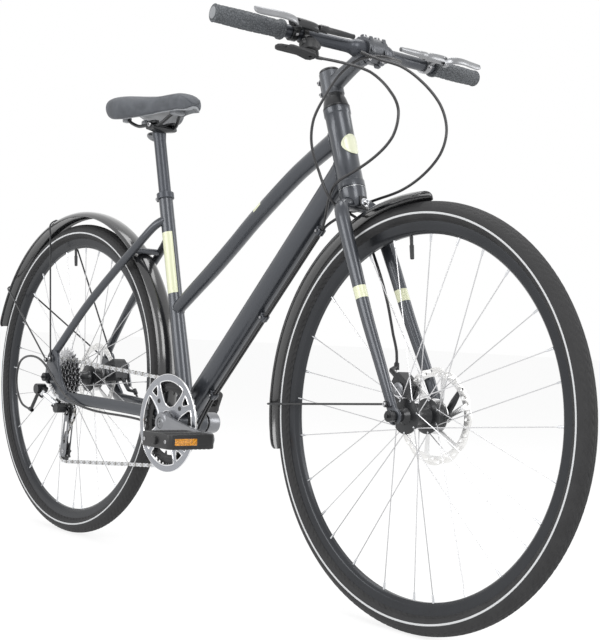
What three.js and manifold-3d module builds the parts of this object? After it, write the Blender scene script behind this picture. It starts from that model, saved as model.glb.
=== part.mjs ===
import * as THREE from 'three';
import { mergeVertices } from 'three/addons/utils/BufferGeometryUtils.js';
import Module from 'manifold-3d';

const wasm = await Module();
wasm.setup();

// A city bicycle with a low slanting top tube, mudguards, cable disc brakes and a derailleur.
// Millimetres and degrees. X points forward, Y to the rider's left and Z up. The origin is on the
// ground midway between the axles, so the driven side lies at negative Y.
const gap = 0.3;
const overrun = 3;
const weldDistance = 0.0001;
const finish = { tolerance: 0.03, wheelSides: 32 };

const bike = {
  wheelbase: 1084, axleHeight: 348, bracketBehind: 98, bracketHeight: 283,
  seatAngle: 75, headAngle: 70.5, forkOffset: 50, forkLength: 414.5,
};
const tyre = { radius: 348, width: 37, crownDrop: 4, crownHalf: 11, shoulderDrop: 15 };
const rim = { outer: 317, halfWidth: 9.2, depth: 22, straight: 16, bridgeHalf: 4 };
const spokes = { perSide: 14, thickness: 1.1, crossing: 58, end: 0.5, pass: 1.2, sunk: 2 };
const frontHub = {
  across: 100, shell: 19, flange: 29, flangeThickness: 3.2, rightFlange: -28, leftFlange: 20, neck: 10,
  rotorSeat: 22, rotorAt: 39.5,
};
const rearHub = {
  across: 135, shell: 17, flange: 31, flangeThickness: 3.2, rightFlange: -19, leftFlange: 30,
  neck: 10, rotorSeat: 22, rotorAt: 52, freehub: 16.6, freehubInner: -25, freehubOuter: -64.5,
};
const rotor = { radius: 80, thickness: 1.8, trackInner: 65, hubRing: 24, arms: 6, armHalf: 7 };
const axle = { radius: 4.8, play: 0.35, nut: 9.5, nutLength: 11, tip: 3, tipLength: 5 };
const chain = {
  pitch: 12.7, pinHalf: 3.2, plateHalf: 4, face: 1.7, back: 3.3, line: -43.3, rollerEvery: 3,
};
const tooth = { below: 4.85, above: 3.1, seatHalf: 3.65, thickness: 1.8 };
const cassette = { cogs: [11, 13, 15, 18, 21, 24, 28, 32], running: 4, spacing: 4.8, carrier: 22 };
const ring = { teeth: 42, inner: 62, tabReach: 46, tabHalf: 9, thickness: 2.2 };
const guard = {
  radius: 97, thickness: 3, bore: 24, rimInner: 83, windowInner: 34, windowHalfAngle: 32, windowTurn: 82,
  windows: 4, slotInner: 58, slotTop: 81, slotHalfAngle: 9,
};
const crank = {
  length: 170, turn: -5.4, hub: 21, hubInner: 39, hubOuter: 67, spindleRadius: 8.5, armInner: 53,
    armThick: 13,
  eyeInner: 66, eyeThick: 14, eye: 13.5, rootHalf: 19, neckHalf: 11, spiderReach: 60, spiderHalf: 9,
  spiderThick: 3,
};
const bracket = { shellRadius: 20.5, shellHalf: 34, bore: 17.6, lip: 19, lipThick: 3, spindleHalf: 60 };
const pedal = {
  inner: 88, width: 102, length: 92, height: 27, barrel: 9.5, spindle: 6, play: 0.4, bar: 20, wall: 10,
  corner: 8, cap: 8, capLength: 6, leftTurn: 66,
};
const pulley = { teeth: 11, thickness: 2, hub: 8, hubHalf: 4.6, above: 1.6 };
const hanger = { behind: 11, below: 27, reach: 9.5, bolt: 4 };
const mech = {
  knuckle: 11.5, knuckleLength: 22, pinReach: 14, upperPinY: -85, lowerPinY: -66, ear: 7, earThick: 4,
    linkHalf: 4.5,
  linkEnd: 6, linkThick: 12, slant: 28, stopArm: 4, guideX: -492, guideZ: 274, cageReach: 88.6, cageTurn: -98,
  cageHalf: 9, cageThick: 1.6, cageGap: 5.2, pin: 3, cageKnuckle: 11, cageKnuckleLength: 24, pivot: 4,
  pivotDepth: 14, pivotBehind: 10, pivotAbove: 8,
};
const seat = {
  tubeTop: 482, tubeRadius: 14.6, tubeRoot: 16.2, taperFrom: 120, taperTo: 260, bore: 13.1, post: 12.7,
  boreDepth: 300, postBottom: 306, postTop: 628, clampOuter: 18, clampHeight: 13, clampEar: 9, earHeight: 11,
  cradleHalf: 29, cradleLong: 17, cradleTall: 11, cradleBelow: 2,
};
const head = { length: 152, radius: 22.5, collar: 24, collarHeight: 12, bore: 17 };
const topTube = {
  half: 15.4,
  places: [[-156, 509], [-100, 548], [-37, 591], [30, 640], [92, 686.5], [188, 751], [242, 782], [321, 822]],
  shares: [0.87, 0.93, 0.97, 0.98, 1, 1.02, 1.05, 1.15],
};
const downTube = {
  deep: 21.5, wide: 19.5,
  places: [[-92, 300], [-61.5, 341], [-20, 385.2], [207, 626.9], [286, 711], [338, 766.4]],
  wideShares: [0.9, 1, 1, 1, 0.95, 0.95], deepShares: [0.75, 0.95, 1, 1, 1.03, 1.1],
};
const stay = {
  chainDeep: 12.5, chainWide: 7.6, seatDeep: 9.2, seatWide: 7.8, bridge: 6.5,
  chainPlaces: [
    [-104, 21, 287], [-130, 29, 292], [-170, 33.5, 296], [-221, 36, 299], [-334, 46, 303], [-440, 61, 306.5],
    [-484, 70, 312],
  ],
  seatPlaces: [
    [-207, 8, 694], [-226, 20, 680], [-262, 31, 646], [-330, 40, 592], [-425, 53, 510], [-505, 63.5, 428],
    [-530, 69, 398],
  ],
};
const dropout = {
  inner: 67.5, thickness: 7, axleRing: 15, slot: 5.1, mouthTurn: -62, eyelet: 5.5, eyeletOut: 3.5,
  band: [
    [-546, 402], [-552, 376], [-545, 350], [-523, 331], [-494, 311], [-468, 298], [-456, 316], [-484, 342],
    [-500, 374], [-506, 404], [-526, 412],
  ],
};
const clip = {
  places: [47, 262, 475], below: 33.5, straight: 14, post: 3.2, long: 6, wide: 11, deep: 5.5, ring: 4.8,
    reach: 13,
  stopHalf: 6, after: 3, shellDrop: 7,
};
const cable = { radius: 2.5, bore: 3.6, apart: 6.6, bend: 38, inner: 0.9 };
const steerer = { radius: 14.3, top: 226, cupHeight: 3.5, cup: 22, bearingHeight: 9, play: 0.35 };
const forkEnd = { inner: 50, thickness: 6.5, ring: 14, slot: 5.1, eyeletOut: 3.5, lugAhead: 2, lugAbove: 6 };
// The fork's left leg: ahead, left, up, half breadth and half depth.
const forkLeg = [
  [0, -2, -25, 13, 12], [1, 16, -25.5, 13.2, 12], [3, 33, -32, 13.2, 11.6], [8, 42, -50, 13.3, 10.8],
  [12, 44.5, -93.5, 13, 10.3], [18, 46.7, -150, 12.4, 10], [27, 49.5, -240.5, 11.3, 9.2],
  [41, 52, -338.6, 10, 8], [47, 52.8, -398, 8.5, 6.2],
];
const stem = {
  reach: 106.6, barUp: 215.8, clampUp: 205, clampHeight: 44, clampRadius: 19.5, barrelRoot: 14.5,
    barrelEnd: 12.5,
  barrelFrom: 201, barrelUp: 216.8,
  grip: 22.5, gripHalf: 22, coneBottom: 23, coneTop: 18.5, coneHeight: 18, capHeight: 6, split: 1,
};
const bar = {
  radius: 11.1, middle: 15.9, middleHalf: 32, rise: 23.7, back: 34, half: 304, bend: 100, middleFade: 14,
};
const grip = { radius: 15.2, lip: 17, length: 132, lipLength: 6, capLength: 3, waist: 14.4 };
const lever = {
  bandAt: 156, bandWidth: 12, bandWall: 3, bodyFrom: 122, bodyTo: 182, bodyAhead: 31, bodyDeep: 11.5,
    bodyTall: 16,
  bodyUp: -2, bodyRound: 9, bridgeShare: 0.56, pivotAt: 170, pivotAhead: 35, pivotDown: -8, pivotRadius: 6,
    pin: 2.4,
  bladeTall: 13, bladeDeep: 4.2, boot: 6.5, bootTo: 52, bootEnd: 4.2, sheathDepth: 8,
  blade: [[35, 170, 0.9], [45, 182, 1], [49, 205, 1], [47, 232, 1], [46, 252, 0.95], [48, 260, 0.6]],
};
const shifter = {
  at: 136, down: 29, ahead: 12, radius: 15.5, tall: 20, band: 9, thumb: 58, thumbBack: 2, release: 44,
    releaseBack: -10,
  paddleHalf: 8, paddleRoot: 11, paddleThick: 4.5, pin: 2.5, barrel: 4.4, barrelLength: 14, barrelDown: 26,
};
const fender = {
  rearCrown: 377, frontCrown: 365, half: 24, edgeDrop: 12, shoulderHalf: 13, shoulderDrop: 2, wall: 1.4,
  frontFrom: 88, frontTo: 194, frontSteps: 18, bridgeTurns: [-8, 47.3], bridgeSteps: 10, rearSteps: 31,
  bridgeHalf: [31, 34], lugReach: 56, foreTurn: 2,
};
const fenderStay = {
  wire: 1.9, eye: 5, eyeThick: 4, upperTurn: 108, lowerTurn: 147, frontTurn: 181, eyelets: [[-524, 390],
    [-544, 386]],
  forkEyelet: [44, -393],
};
const caliper = {
  inner: 60, outer: 104, half: 25, bevel: 6, inboard: 15, slotHalf: 1.5, boss: 9, bossAt: 88, bossTurn: 8,
    pin: 3,
  pinHead: 6, armGap: 1.5, armThick: 3.5, armRoot: 8, armTip: 5, stopArm: 4.5, rearTurn: 14, frontTurn: 152,
  rearArmEnd: [-441, 339], frontArmEnd: [425, 393], frontFoot: [457, 44, 397], rearFoot: [-441, 55, 356],
  frontElbow: [5, -18, -6], rearElbow: [-2, -16, 3],
  frontTab: [[66, -38], [66, -27], [72, -8], [97, -8], [102, -20], [104, -38]],
  rearTab: [[48, -20], [66, -17], [97, -15], [97, -6], [66, -6], [44, 22], [40, 10]],
};
const quick = { barrel: 7.5, barrelHalf: 9, length: 58, half: 7, thick: 5 };
const saddle = {
  clampZ: 893, clampX: -250, railRadius: 3.6, shellDrop: 0.5,
  sockets: [[-348, 24, 914], [-348, -24, 914], [-159, 0, 916.5]], socketWide: [16, 16, 28], socketLong: 18,
  socketTall: 16,
  rail: [[-348, 24, 915], [-332, 24, 905], [-304, 22, 894.5], [-280, 22, 893.5], [-215, 22, 891], [-194, 22,
    890.5],
    [-174, 18, 902], [-158, 7, 916]],
};

// Stations along the saddle: x, half width, top and edge heights.
const saddleStations = [
  [-372, 38, 943, 925], [-366, 62, 950, 914], [-345, 79, 955, 905], [-310, 81, 954, 901], [-270, 69, 950,
    903],
  [-235, 47, 949, 908], [-200, 33, 952, 912], [-165, 26, 952, 913], [-135, 22, 944, 912], [-118, 17, 933,
    911],
  [-112, 8, 925, 914],
];
// The cushion is crowned on top, drawn in under its sides and hollow underneath. Each point is a share
// of the half width, a share of the height and how far it lies below that.
const coverShape = [
  [0.16, 0.46, 0], [0.55, 0.38, 0], [0.77, 0.11, 0], [0.86, 0, 0], [0.97, 0.12, 0], [1, 0.4, 0], [0.92,
    0.68, 0],
  [0.7, 0.88, 0], [0.4, 0.97, 0], [0.13, 1, 0],
];
const shellShape = [
  [0.16, 0.46, 0], [0.55, 0.38, 0], [0.77, 0.11, 0], [0.72, 0.14, 4], [0.5, 0.37, 4.5], [0.12, 0.45, 4.5],
];

const rad = THREE.MathUtils.degToRad;
const at = (x, y, z) => new THREE.Vector3(x, y, z);
const mix = THREE.MathUtils.lerp;

// Solids

function signedVolume(points, triangles) {
  let total = 0;
  const corner = (i) => at(points[3 * i], points[3 * i + 1], points[3 * i + 2]);
  for (let i = 0; i < triangles.length; i += 3) {
    const [a, b, c] = [corner(triangles[i]), corner(triangles[i + 1]), corner(triangles[i + 2])];
    total += a.dot(b.cross(c));
  }
  return total;
}

// A closed geometry as a solid that can be joined and cut, turned inside in where it was mirrored.
function solid(geometry) {
  const bare = geometry.clone();
  bare.deleteAttribute('normal');
  bare.deleteAttribute('uv');
  const merged = mergeVertices(bare, weldDistance);
  const vertProperties = Float32Array.from(merged.attributes.position.array);
  const triVerts = [];
  const index = merged.index.array;
  for (let i = 0; i < index.length; i += 3) {
    const [a, b, c] = [index[i], index[i + 1], index[i + 2]];
    if (a !== b && b !== c && c !== a) {
      triVerts.push(a, b, c);
    }
  }
  if (signedVolume(vertProperties, triVerts) < 0) {
    triVerts.reverse();
  }
  return new wasm.Manifold(new wasm.Mesh({ numProp: 3, vertProperties,
    triVerts: Uint32Array.from(triVerts) }));
}

function geometryOf(manifold) {
  const { vertProperties, triVerts } = manifold.simplify(finish.tolerance).getMesh();
  const geometry = new THREE.BufferGeometry();
  geometry.setAttribute('position', new THREE.BufferAttribute(vertProperties, 3));
  geometry.setIndex(new THREE.BufferAttribute(triVerts, 1));
  geometry.computeVertexNormals();
  return geometry;
}

const join = (first, ...others) => others.reduce((sum, next) => sum.add(next), first);
const cut = (first, ...tools) => tools.reduce((rest, tool) => rest.subtract(tool), first);

// A closed body through rings of equally many points; the ends are covered across the ring.
function loftGeometry(rings, looped = false) {
  const count = rings[0].length;
  const index = [];
  const spans = looped ? rings.length : rings.length - 1;
  for (let i = 0; i < spans; i += 1) {
    const next = (i + 1) % rings.length;
    for (let j = 0; j < count; j += 1) {
      const k = (j + 1) % count;
      const [a, b, c, d] = [i * count + j, i * count + k, next * count + k, next * count + j];
      index.push(a, b, c, a, c, d);
    }
  }
  if (!looped) {
    const last = (rings.length - 1) * count;
    for (let j = 0; j < count / 2 - 1; j += 1) {
      const [a, b, c, d] = [j, j + 1, count - 2 - j, count - 1 - j];
      index.push(a, c, b, a, d, c);
      index.push(last + a, last + b, last + c, last + a, last + c, last + d);
    }
  }
  const geometry = new THREE.BufferGeometry().setFromPoints(rings.flat());
  geometry.setIndex(index);
  return geometry;
}
const loft = (rings, looped) => solid(loftGeometry(rings, looped));

// A tube of oval section through stations of { at, wide, deep }, where wide lies along the side axis.
function tube(stations, sides, side = at(0, 1, 0)) {
  const rings = stations.map((station, i) => {
    const before = stations[Math.max(i - 1, 0)].at;
    const after = stations[Math.min(i + 1, stations.length - 1)].at;
    const along = after.clone().sub(before).normalize();
    const deepAxis = along.clone().cross(side).normalize();
    const wideAxis = deepAxis.clone().cross(along);
    return Array.from({ length: sides }, (_, j) => {
      const turn = (2 * Math.PI * (j + 1 / 2)) / sides;
      return station.at.clone()
        .addScaledVector(wideAxis, station.wide * Math.cos(turn))
        .addScaledVector(deepAxis, station.deep * Math.sin(turn));
    });
  });
  return loft(rings);
}

function rod(from, to, radius, sides = 12, endRadius = radius) {
  const along = to.clone().sub(from).normalize();
  const side = Math.abs(along.y) > Math.SQRT1_2 ? at(1, 0, 0) : at(0, 1, 0);
  const stations = [{ at: from, wide: radius, deep: radius }, { at: to, wide: endRadius, deep: endRadius }];
  return tube(stations, sides, side);
}

const disc = (x, z, radius, low, high, sides = 16) => rod(at(x, low, z), at(x, high, z), radius, sides);

function turned(profile, sides) {
  return solid(new THREE.LatheGeometry(profile.map(([radius, y]) => new THREE.Vector2(radius, y)), sides));
}

// A flat plate in the XZ plane between two Y values, from an outline of [x, z] points with holes.
function plate(outline, low, high, holes = []) {
  const shape = new THREE.Shape(outline.map(([x, z]) => new THREE.Vector2(x, z)));
  const geometry = new THREE.ExtrudeGeometry(shape, { depth: high - low, bevelEnabled: false,
    curveSegments: 1 });
  geometry.rotateX(rad(90));
  geometry.translate(0, high, 0);
  return cut(solid(geometry), ...holes.map((hole) => plate(hole, low - overrun, high + overrun)));
}

// The outline round two circles.
function capsule(from, fromRadius, to, toRadius, steps = 4) {
  const heading = THREE.MathUtils.radToDeg(Math.atan2(to[1] - from[1], to[0] - from[0]));
  const arc = (centre, radius, start) => Array.from({ length: steps + 1 }, (_, i) => (
    polar(radius, start + (180 * i) / steps, centre[0], centre[1])
  ));
  return [...arc(to, toRadius, heading - 90), ...arc(from, fromRadius, heading + 90)];
}

function block(size, centre, turnY = 0) {
  const geometry = new THREE.BoxGeometry(size.x, size.y, size.z);
  geometry.rotateY(rad(turnY));
  geometry.translate(centre.x, centre.y, centre.z);
  return solid(geometry);
}

const circle = (radius, sides, x = 0, z = 0) => Array.from({ length: sides }, (_, i) => {
  const turn = (2 * Math.PI * i) / sides;
  return [x + radius * Math.cos(turn), z + radius * Math.sin(turn)];
});
const polar = (radius, degrees, x = 0, z = 0) => [
  x + radius * Math.cos(rad(degrees)), z + radius * Math.sin(rad(degrees)),
];
const around = (centre, radius, degrees, y = 0) => {
  const [x, z] = polar(radius, degrees, centre.x, centre.z);
  return at(x, y, z);
};

// A round wire along a smooth curve through points, with more steps from point to point where it bends.
function wire(points, radius, sides) {
  const curve = new THREE.CatmullRomCurve3(points, false, 'centripetal');
  const shares = [];
  for (let i = 0; i < points.length - 1; i += 1) {
    const [from, to] = [i, i + 1].map((j) => j / (points.length - 1));
    const bend = THREE.MathUtils.radToDeg(curve.getTangent(from).angleTo(curve.getTangent(to)));
    const count = Math.max(1, Math.ceil(bend / cable.bend));
    for (let k = 0; k < count; k += 1) {
      shares.push(mix(from, to, k / count));
    }
  }
  let side = at(0, 1, 0).cross(curve.getTangent(0)).normalize();
  const rings = [...shares, 1].map((share) => {
    const along = curve.getTangent(share);
    side = side.clone().addScaledVector(along, -side.dot(along)).normalize();
    const across = along.clone().cross(side);
    const middle = curve.getPoint(share);
    return Array.from({ length: sides }, (_, j) => {
      const turn = (2 * Math.PI * (j + 1 / 2)) / sides;
      return middle.clone()
        .addScaledVector(side, radius * Math.cos(turn)).addScaledVector(across, radius * Math.sin(turn));
    });
  });
  return loft(rings);
}

const mirrored = (point) => at(point.x, -point.y, point.z);

// Places that the pieces share

const rearAxle = at(-bike.wheelbase / 2, 0, bike.axleHeight);
const frontAxle = at(bike.wheelbase / 2, 0, bike.axleHeight);
const bracketAt = at(-bike.bracketBehind, 0, bike.bracketHeight);
const seatAlong = at(-Math.cos(rad(bike.seatAngle)), 0, Math.sin(rad(bike.seatAngle)));
const onSeatTube = (distance, y = 0) => bracketAt.clone().addScaledVector(seatAlong, distance).setY(y);
const steerUp = at(-Math.cos(rad(bike.headAngle)), 0, Math.sin(rad(bike.headAngle)));
const steerAhead = at(Math.sin(rad(bike.headAngle)), 0, Math.cos(rad(bike.headAngle)));
// The crown race, from which everything on the steerer is measured up and ahead.
const race = frontAxle.clone()
  .addScaledVector(steerAhead, -bike.forkOffset).addScaledVector(steerUp, bike.forkLength);
const steer = (up, ahead, left = 0) => race.clone()
  .addScaledVector(steerUp, up).addScaledVector(steerAhead, ahead).setY(left);
const headBottom = steerer.cupHeight;
const headTop = headBottom + head.length;
const pitchRadius = (teeth) => chain.pitch / (2 * Math.sin(Math.PI / teeth));

const bikeGroup = new THREE.Group();
const looks = {
  graphite: [0x4a5057, 0.45, 0.6],
  black: [0x17181a, 0.5, 0.1],
  gloss: [0x101113, 0.2, 0.1],
  rubber: [0x1d1d1f, 0.85, 0],
  gripRubber: [0x5c6468, 0.8, 0],
  silver: [0xc4c6c8, 0.3, 1],
  steel: [0x9a9ca0, 0.35, 1],
  grey: [0x85888c, 0.4, 0.8],
  cover: [0x4d5257, 0.75, 0],
};

function addPiece(name, look, manifold) {
  const [color, roughness, metalness] = looks[look];
  const material = new THREE.MeshStandardMaterial({ color, roughness, metalness });
  const mesh = new THREE.Mesh(geometryOf(manifold), material);
  mesh.name = name;
  bikeGroup.add(mesh);
  return mesh;
}

// Wheels

function tyreSolid() {
  const { radius, crownDrop, crownHalf, shoulderDrop, width } = tyre;
  const half = [
    [radius - crownDrop, crownHalf],
    [radius - shoulderDrop, width / 2],
    [rim.outer + gap, rim.halfWidth],
  ];
  const profile = [...half.slice().reverse().map(([r, y]) => [r, -y]), [radius, 0], ...half];
  return turned([...profile, profile[0]], finish.wheelSides);
}

function rimSolid() {
  const inner = rim.outer - rim.depth;
  const half = [[inner, rim.bridgeHalf], [rim.outer - rim.straight, rim.halfWidth], [rim.outer,
    rim.halfWidth]];
  const right = half.map(([r, y]) => [r, -y]);
  const profile = [...right, ...half.slice().reverse()];
  return turned([...profile, profile[0]], finish.wheelSides);
}

// Straight spokes leave each flange alternately forward and backward and end under the rim.
function spokeSolids(hub) {
  const end = (rim.outer - rim.depth) * Math.cos(Math.PI / finish.wheelSides) - spokes.end;
  const solids = [];
  for (const flangeY of [hub.rightFlange, hub.leftFlange]) {
    for (let i = 0; i < spokes.perSide; i += 1) {
      const start = (360 * i) / spokes.perSide + (flangeY > 0 ? 180 / spokes.perSide : 0);
      const lean = i % 2 ? spokes.crossing : -spokes.crossing;
      const rimTurn = start + (i % 2 ? 180 / spokes.perSide : -180 / spokes.perSide) / 2 + lean / 4;
      const pass = i % 2 ? spokes.pass : -spokes.pass;
      const from = around(at(0, 0, 0), hub.flange - spokes.sunk, start - lean / 4, flangeY + pass);
      const to = around(at(0, 0, 0), end, rimTurn, Math.sign(flangeY) * rim.bridgeHalf / 2 + pass);
      solids.push(rod(from, to, spokes.thickness, 3));
    }
  }
  return solids;
}

function hubProfile(hub, right) {
  const { shell, flange, flangeThickness: thick, neck, leftFlange: left, rightFlange, rotorSeat } = hub;
  const face = hub.across / 2 - gap;
  const bore = axle.radius + axle.play;
  const profile = [
    [bore, -face], ...right,
    [flange, rightFlange - thick / 2], [flange, rightFlange + thick / 2],
    [shell, rightFlange + thick], [shell, left - thick],
    [flange, left - thick / 2], [flange, left + thick / 2],
    [rotorSeat, left + thick], [rotorSeat, hub.rotorAt - rotor.thickness / 2 - gap],
    [neck, hub.rotorAt - rotor.thickness / 2 - gap], [neck, face], [bore, face],
  ];
  return [...profile, profile[0]];
}

function frontHubSolid() {
  const right = [
    [frontHub.neck, -frontHub.across / 2 + gap], [frontHub.neck, frontHub.rightFlange - frontHub.neck],
    [frontHub.shell, frontHub.rightFlange - frontHub.flangeThickness],
  ];
  return join(turned(hubProfile(frontHub, right), 12), ...spokeSolids(frontHub));
}

function rearHubSolid() {
  const { neck, across, freehub, freehubInner, freehubOuter } = rearHub;
  const right = [
    [neck, -across / 2 + gap], [neck, freehubOuter], [freehub, freehubOuter], [freehub, freehubInner],
  ];
  return join(turned(hubProfile(rearHub, right), 12), ...spokeSolids(rearHub));
}

function rotorSolid(hub) {
  const arms = Array.from({ length: rotor.arms }, (_, i) => (360 * i) / rotor.arms);
  const windows = arms.map((turn) => {
    const outerSkew = THREE.MathUtils.radToDeg(rotor.armHalf / rotor.trackInner) / 2;
    const innerSkew = THREE.MathUtils.radToDeg(rotor.armHalf / rotor.hubRing) / 2;
    const step = 360 / rotor.arms;
    return [
      polar(rotor.hubRing, turn + innerSkew), polar(rotor.hubRing, turn + step - innerSkew),
      polar(rotor.trackInner, turn + step - outerSkew), polar(rotor.trackInner, turn + step / 2),
      polar(rotor.trackInner, turn + outerSkew),
    ];
  });
  const low = hub.rotorAt - rotor.thickness / 2;
  const bore = circle((hub.neck + gap) / Math.cos(Math.PI / 12), 12);
  return plate(circle(rotor.radius, 30), low, low + rotor.thickness, [bore, ...windows]);
}

// A skewer through the hub with its thumb nut on the driven side.
function skewerSolid(hub, endInner, endThick) {
  const right = -endInner - endThick - gap;
  const left = endInner + endThick;
  return join(
    disc(0, 0, axle.radius, right - axle.tip, left, 12),
    disc(0, 0, axle.nut, right - axle.nutLength, right, 12),
    disc(0, 0, axle.tip, right - axle.nutLength - axle.tipLength, right, 8),
  );
}

function quickLeverSolid(endInner, endThick, turn) {
  const middle = endInner + endThick + gap + quick.barrel;
  const away = around(at(0, 0, 0), 1, turn);
  const across = away.clone().cross(at(0, 1, 0));
  const centre = at(0, middle, 0);
  const along = (distance, out) => centre.clone().addScaledVector(away, distance).add(at(0, out, 0));
  const [right, left] = [-quick.barrelHalf, quick.barrelHalf].map((reach) => (
    centre.clone().addScaledVector(across, reach)
  ));
  const barrel = rod(right, left, quick.barrel, 12);
  const handle = tube([
    { at: along(0, 0), wide: quick.thick, deep: quick.half },
    { at: along(quick.length / 2, quick.thick / 2), wide: quick.thick / 2, deep: quick.half },
    { at: along(quick.length, quick.thick), wide: quick.thick / 3, deep: quick.half / 2 },
  ], 6);
  return join(barrel, handle);
}

function addWheel(name, hub, hubSolid, place) {
  const end = name === 'front' ? [forkEnd.inner, forkEnd.thickness] : [dropout.inner, dropout.thickness];
  const leverTurn = name === 'front' ? 60 : 35;
  const pieces = [
    addPiece(`${name}_tyre`, 'rubber', tyreSolid()),
    addPiece(`${name}_rim`, 'black', rimSolid()),
    addPiece(`${name}_hub`, 'black', hubSolid),
    addPiece(`${name}_rotor`, 'silver', rotorSolid(hub)),
    addPiece(`${name}_axle`, 'black', skewerSolid(hub, ...end)),
    addPiece(`${name}_qr_lever`, 'black', quickLeverSolid(...end, leverTurn)),
  ];
  const group = new THREE.Group();
  group.position.copy(place);
  group.add(...pieces);
  bikeGroup.add(group);
}

// Chain drive

// Each tooth is a triangle between two flat seats.
function toothed(teeth, turn, above = tooth.above) {
  const pitch = pitchRadius(teeth);
  const root = pitch - tooth.below;
  const tip = pitch + above;
  const seatAngle = THREE.MathUtils.radToDeg(tooth.seatHalf / root);
  const points = [];
  for (let i = 0; i < teeth; i += 1) {
    const seatTurn = turn + (360 * i) / teeth;
    points.push(polar(root, seatTurn - seatAngle), polar(root, seatTurn + seatAngle));
    points.push(polar(tip, seatTurn + 180 / teeth));
  }
  return points;
}

// The chain runs round the ring, the tension pulley, the guide pulley and a middle cog. A wheel's
// spin is 1 where the chain turns it anticlockwise in the XZ plane.
function wheelsFor(cageTurn) {
  const guideAt = at(mech.guideX, 0, mech.guideZ);
  return [
    { centre: bracketAt, teeth: ring.teeth, spin: -1 },
    { centre: around(guideAt, mech.cageReach, cageTurn), teeth: pulley.teeth, spin: -1 },
    { centre: guideAt, teeth: pulley.teeth, spin: 1 },
    { centre: rearAxle, teeth: cassette.cogs[cassette.running], spin: -1 },
  ];
}

function tangents(wheels) {
  return wheels.map((from, i) => {
    const to = wheels[(i + 1) % wheels.length];
    const across = to.centre.clone().sub(from.centre);
    const offset = to.spin * pitchRadius(to.teeth) - from.spin * pitchRadius(from.teeth);
    const run = Math.sqrt(across.x ** 2 + across.z ** 2 - offset ** 2);
    const heading = Math.atan2(across.z, across.x) - Math.atan2(offset, run);
    return { run, heading };
  });
}

const positive = (angle) => ((angle % (2 * Math.PI)) + 2 * Math.PI) % (2 * Math.PI);

// The loop as alternate arcs and straight runs, each counted in links.
function chainLoop(cageTurn) {
  const wheels = wheelsFor(cageTurn);
  const lines = tangents(wheels);
  return wheels.map((wheel, i) => {
    const before = lines[(i + lines.length - 1) % lines.length];
    const { heading, run } = lines[i];
    const turned = positive(wheel.spin * (heading - before.heading));
    const arcLinks = (turned * wheel.teeth) / (2 * Math.PI);
    return { wheel, enter: before.heading, turned, heading, run, arcLinks };
  });
}
const loopLinks = (loop) => loop.reduce((sum, part) => sum + part.arcLinks + part.run / chain.pitch, 0);

// The cage settles where the loop holds a whole even number of links.
function settleCage() {
  const links = 2 * Math.round(loopLinks(chainLoop(mech.cageTurn)) / 2);
  let [low, high] = [mech.cageTurn - 12, mech.cageTurn + 12];
  const sign = Math.sign(loopLinks(chainLoop(high)) - loopLinks(chainLoop(low)));
  for (let i = 0; i < 50; i += 1) {
    const middle = (low + high) / 2;
    if (sign * (loopLinks(chainLoop(middle)) - links) > 0) {
      high = middle;
    } else {
      low = middle;
    }
  }
  return { links, turn: (low + high) / 2 };
}
const cage = settleCage();
const loop = chainLoop(cage.turn);
const guideAt = loop[2].wheel.centre;
const tensionAt = loop[1].wheel.centre;

// The direction from a wheel's centre to the chain that runs along a heading.
const contact = (wheel, heading) => heading - wheel.spin * Math.PI / 2;

// Pins one pitch apart all round the loop, with the phase of each wheel's seats.
function layPins() {
  const pins = [];
  const phases = [];
  let carried = 0;
  for (const part of loop) {
    const { wheel } = part;
    const radius = pitchRadius(wheel.teeth);
    const step = (2 * Math.PI) / wheel.teeth;
    const first = contact(wheel, part.enter) + wheel.spin * carried * step;
    phases.push(THREE.MathUtils.radToDeg(first));
    let travelled = carried;
    while (travelled < part.arcLinks - weldDistance) {
      const turn = THREE.MathUtils.radToDeg(contact(wheel, part.enter) + wheel.spin * travelled * step);
      pins.push({ place: around(wheel.centre, radius, turn), straight: false });
      travelled += 1;
    }
    travelled -= part.arcLinks;
    const leave = around(wheel.centre, radius, THREE.MathUtils.radToDeg(contact(wheel, part.heading)));
    const along = at(Math.cos(part.heading), 0, Math.sin(part.heading));
    while (travelled < part.run / chain.pitch - weldDistance) {
      const share = travelled * chain.pitch / part.run;
      const straight = share > chain.pitch / part.run && share < 1 - chain.pitch / part.run;
      pins.push({ place: leave.clone().addScaledVector(along, travelled * chain.pitch), straight });
      travelled += 1;
    }
    carried = travelled - part.run / chain.pitch;
  }
  return { pins: pins.slice(0, cage.links), phases };
}
const { pins, phases } = layPins();

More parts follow.
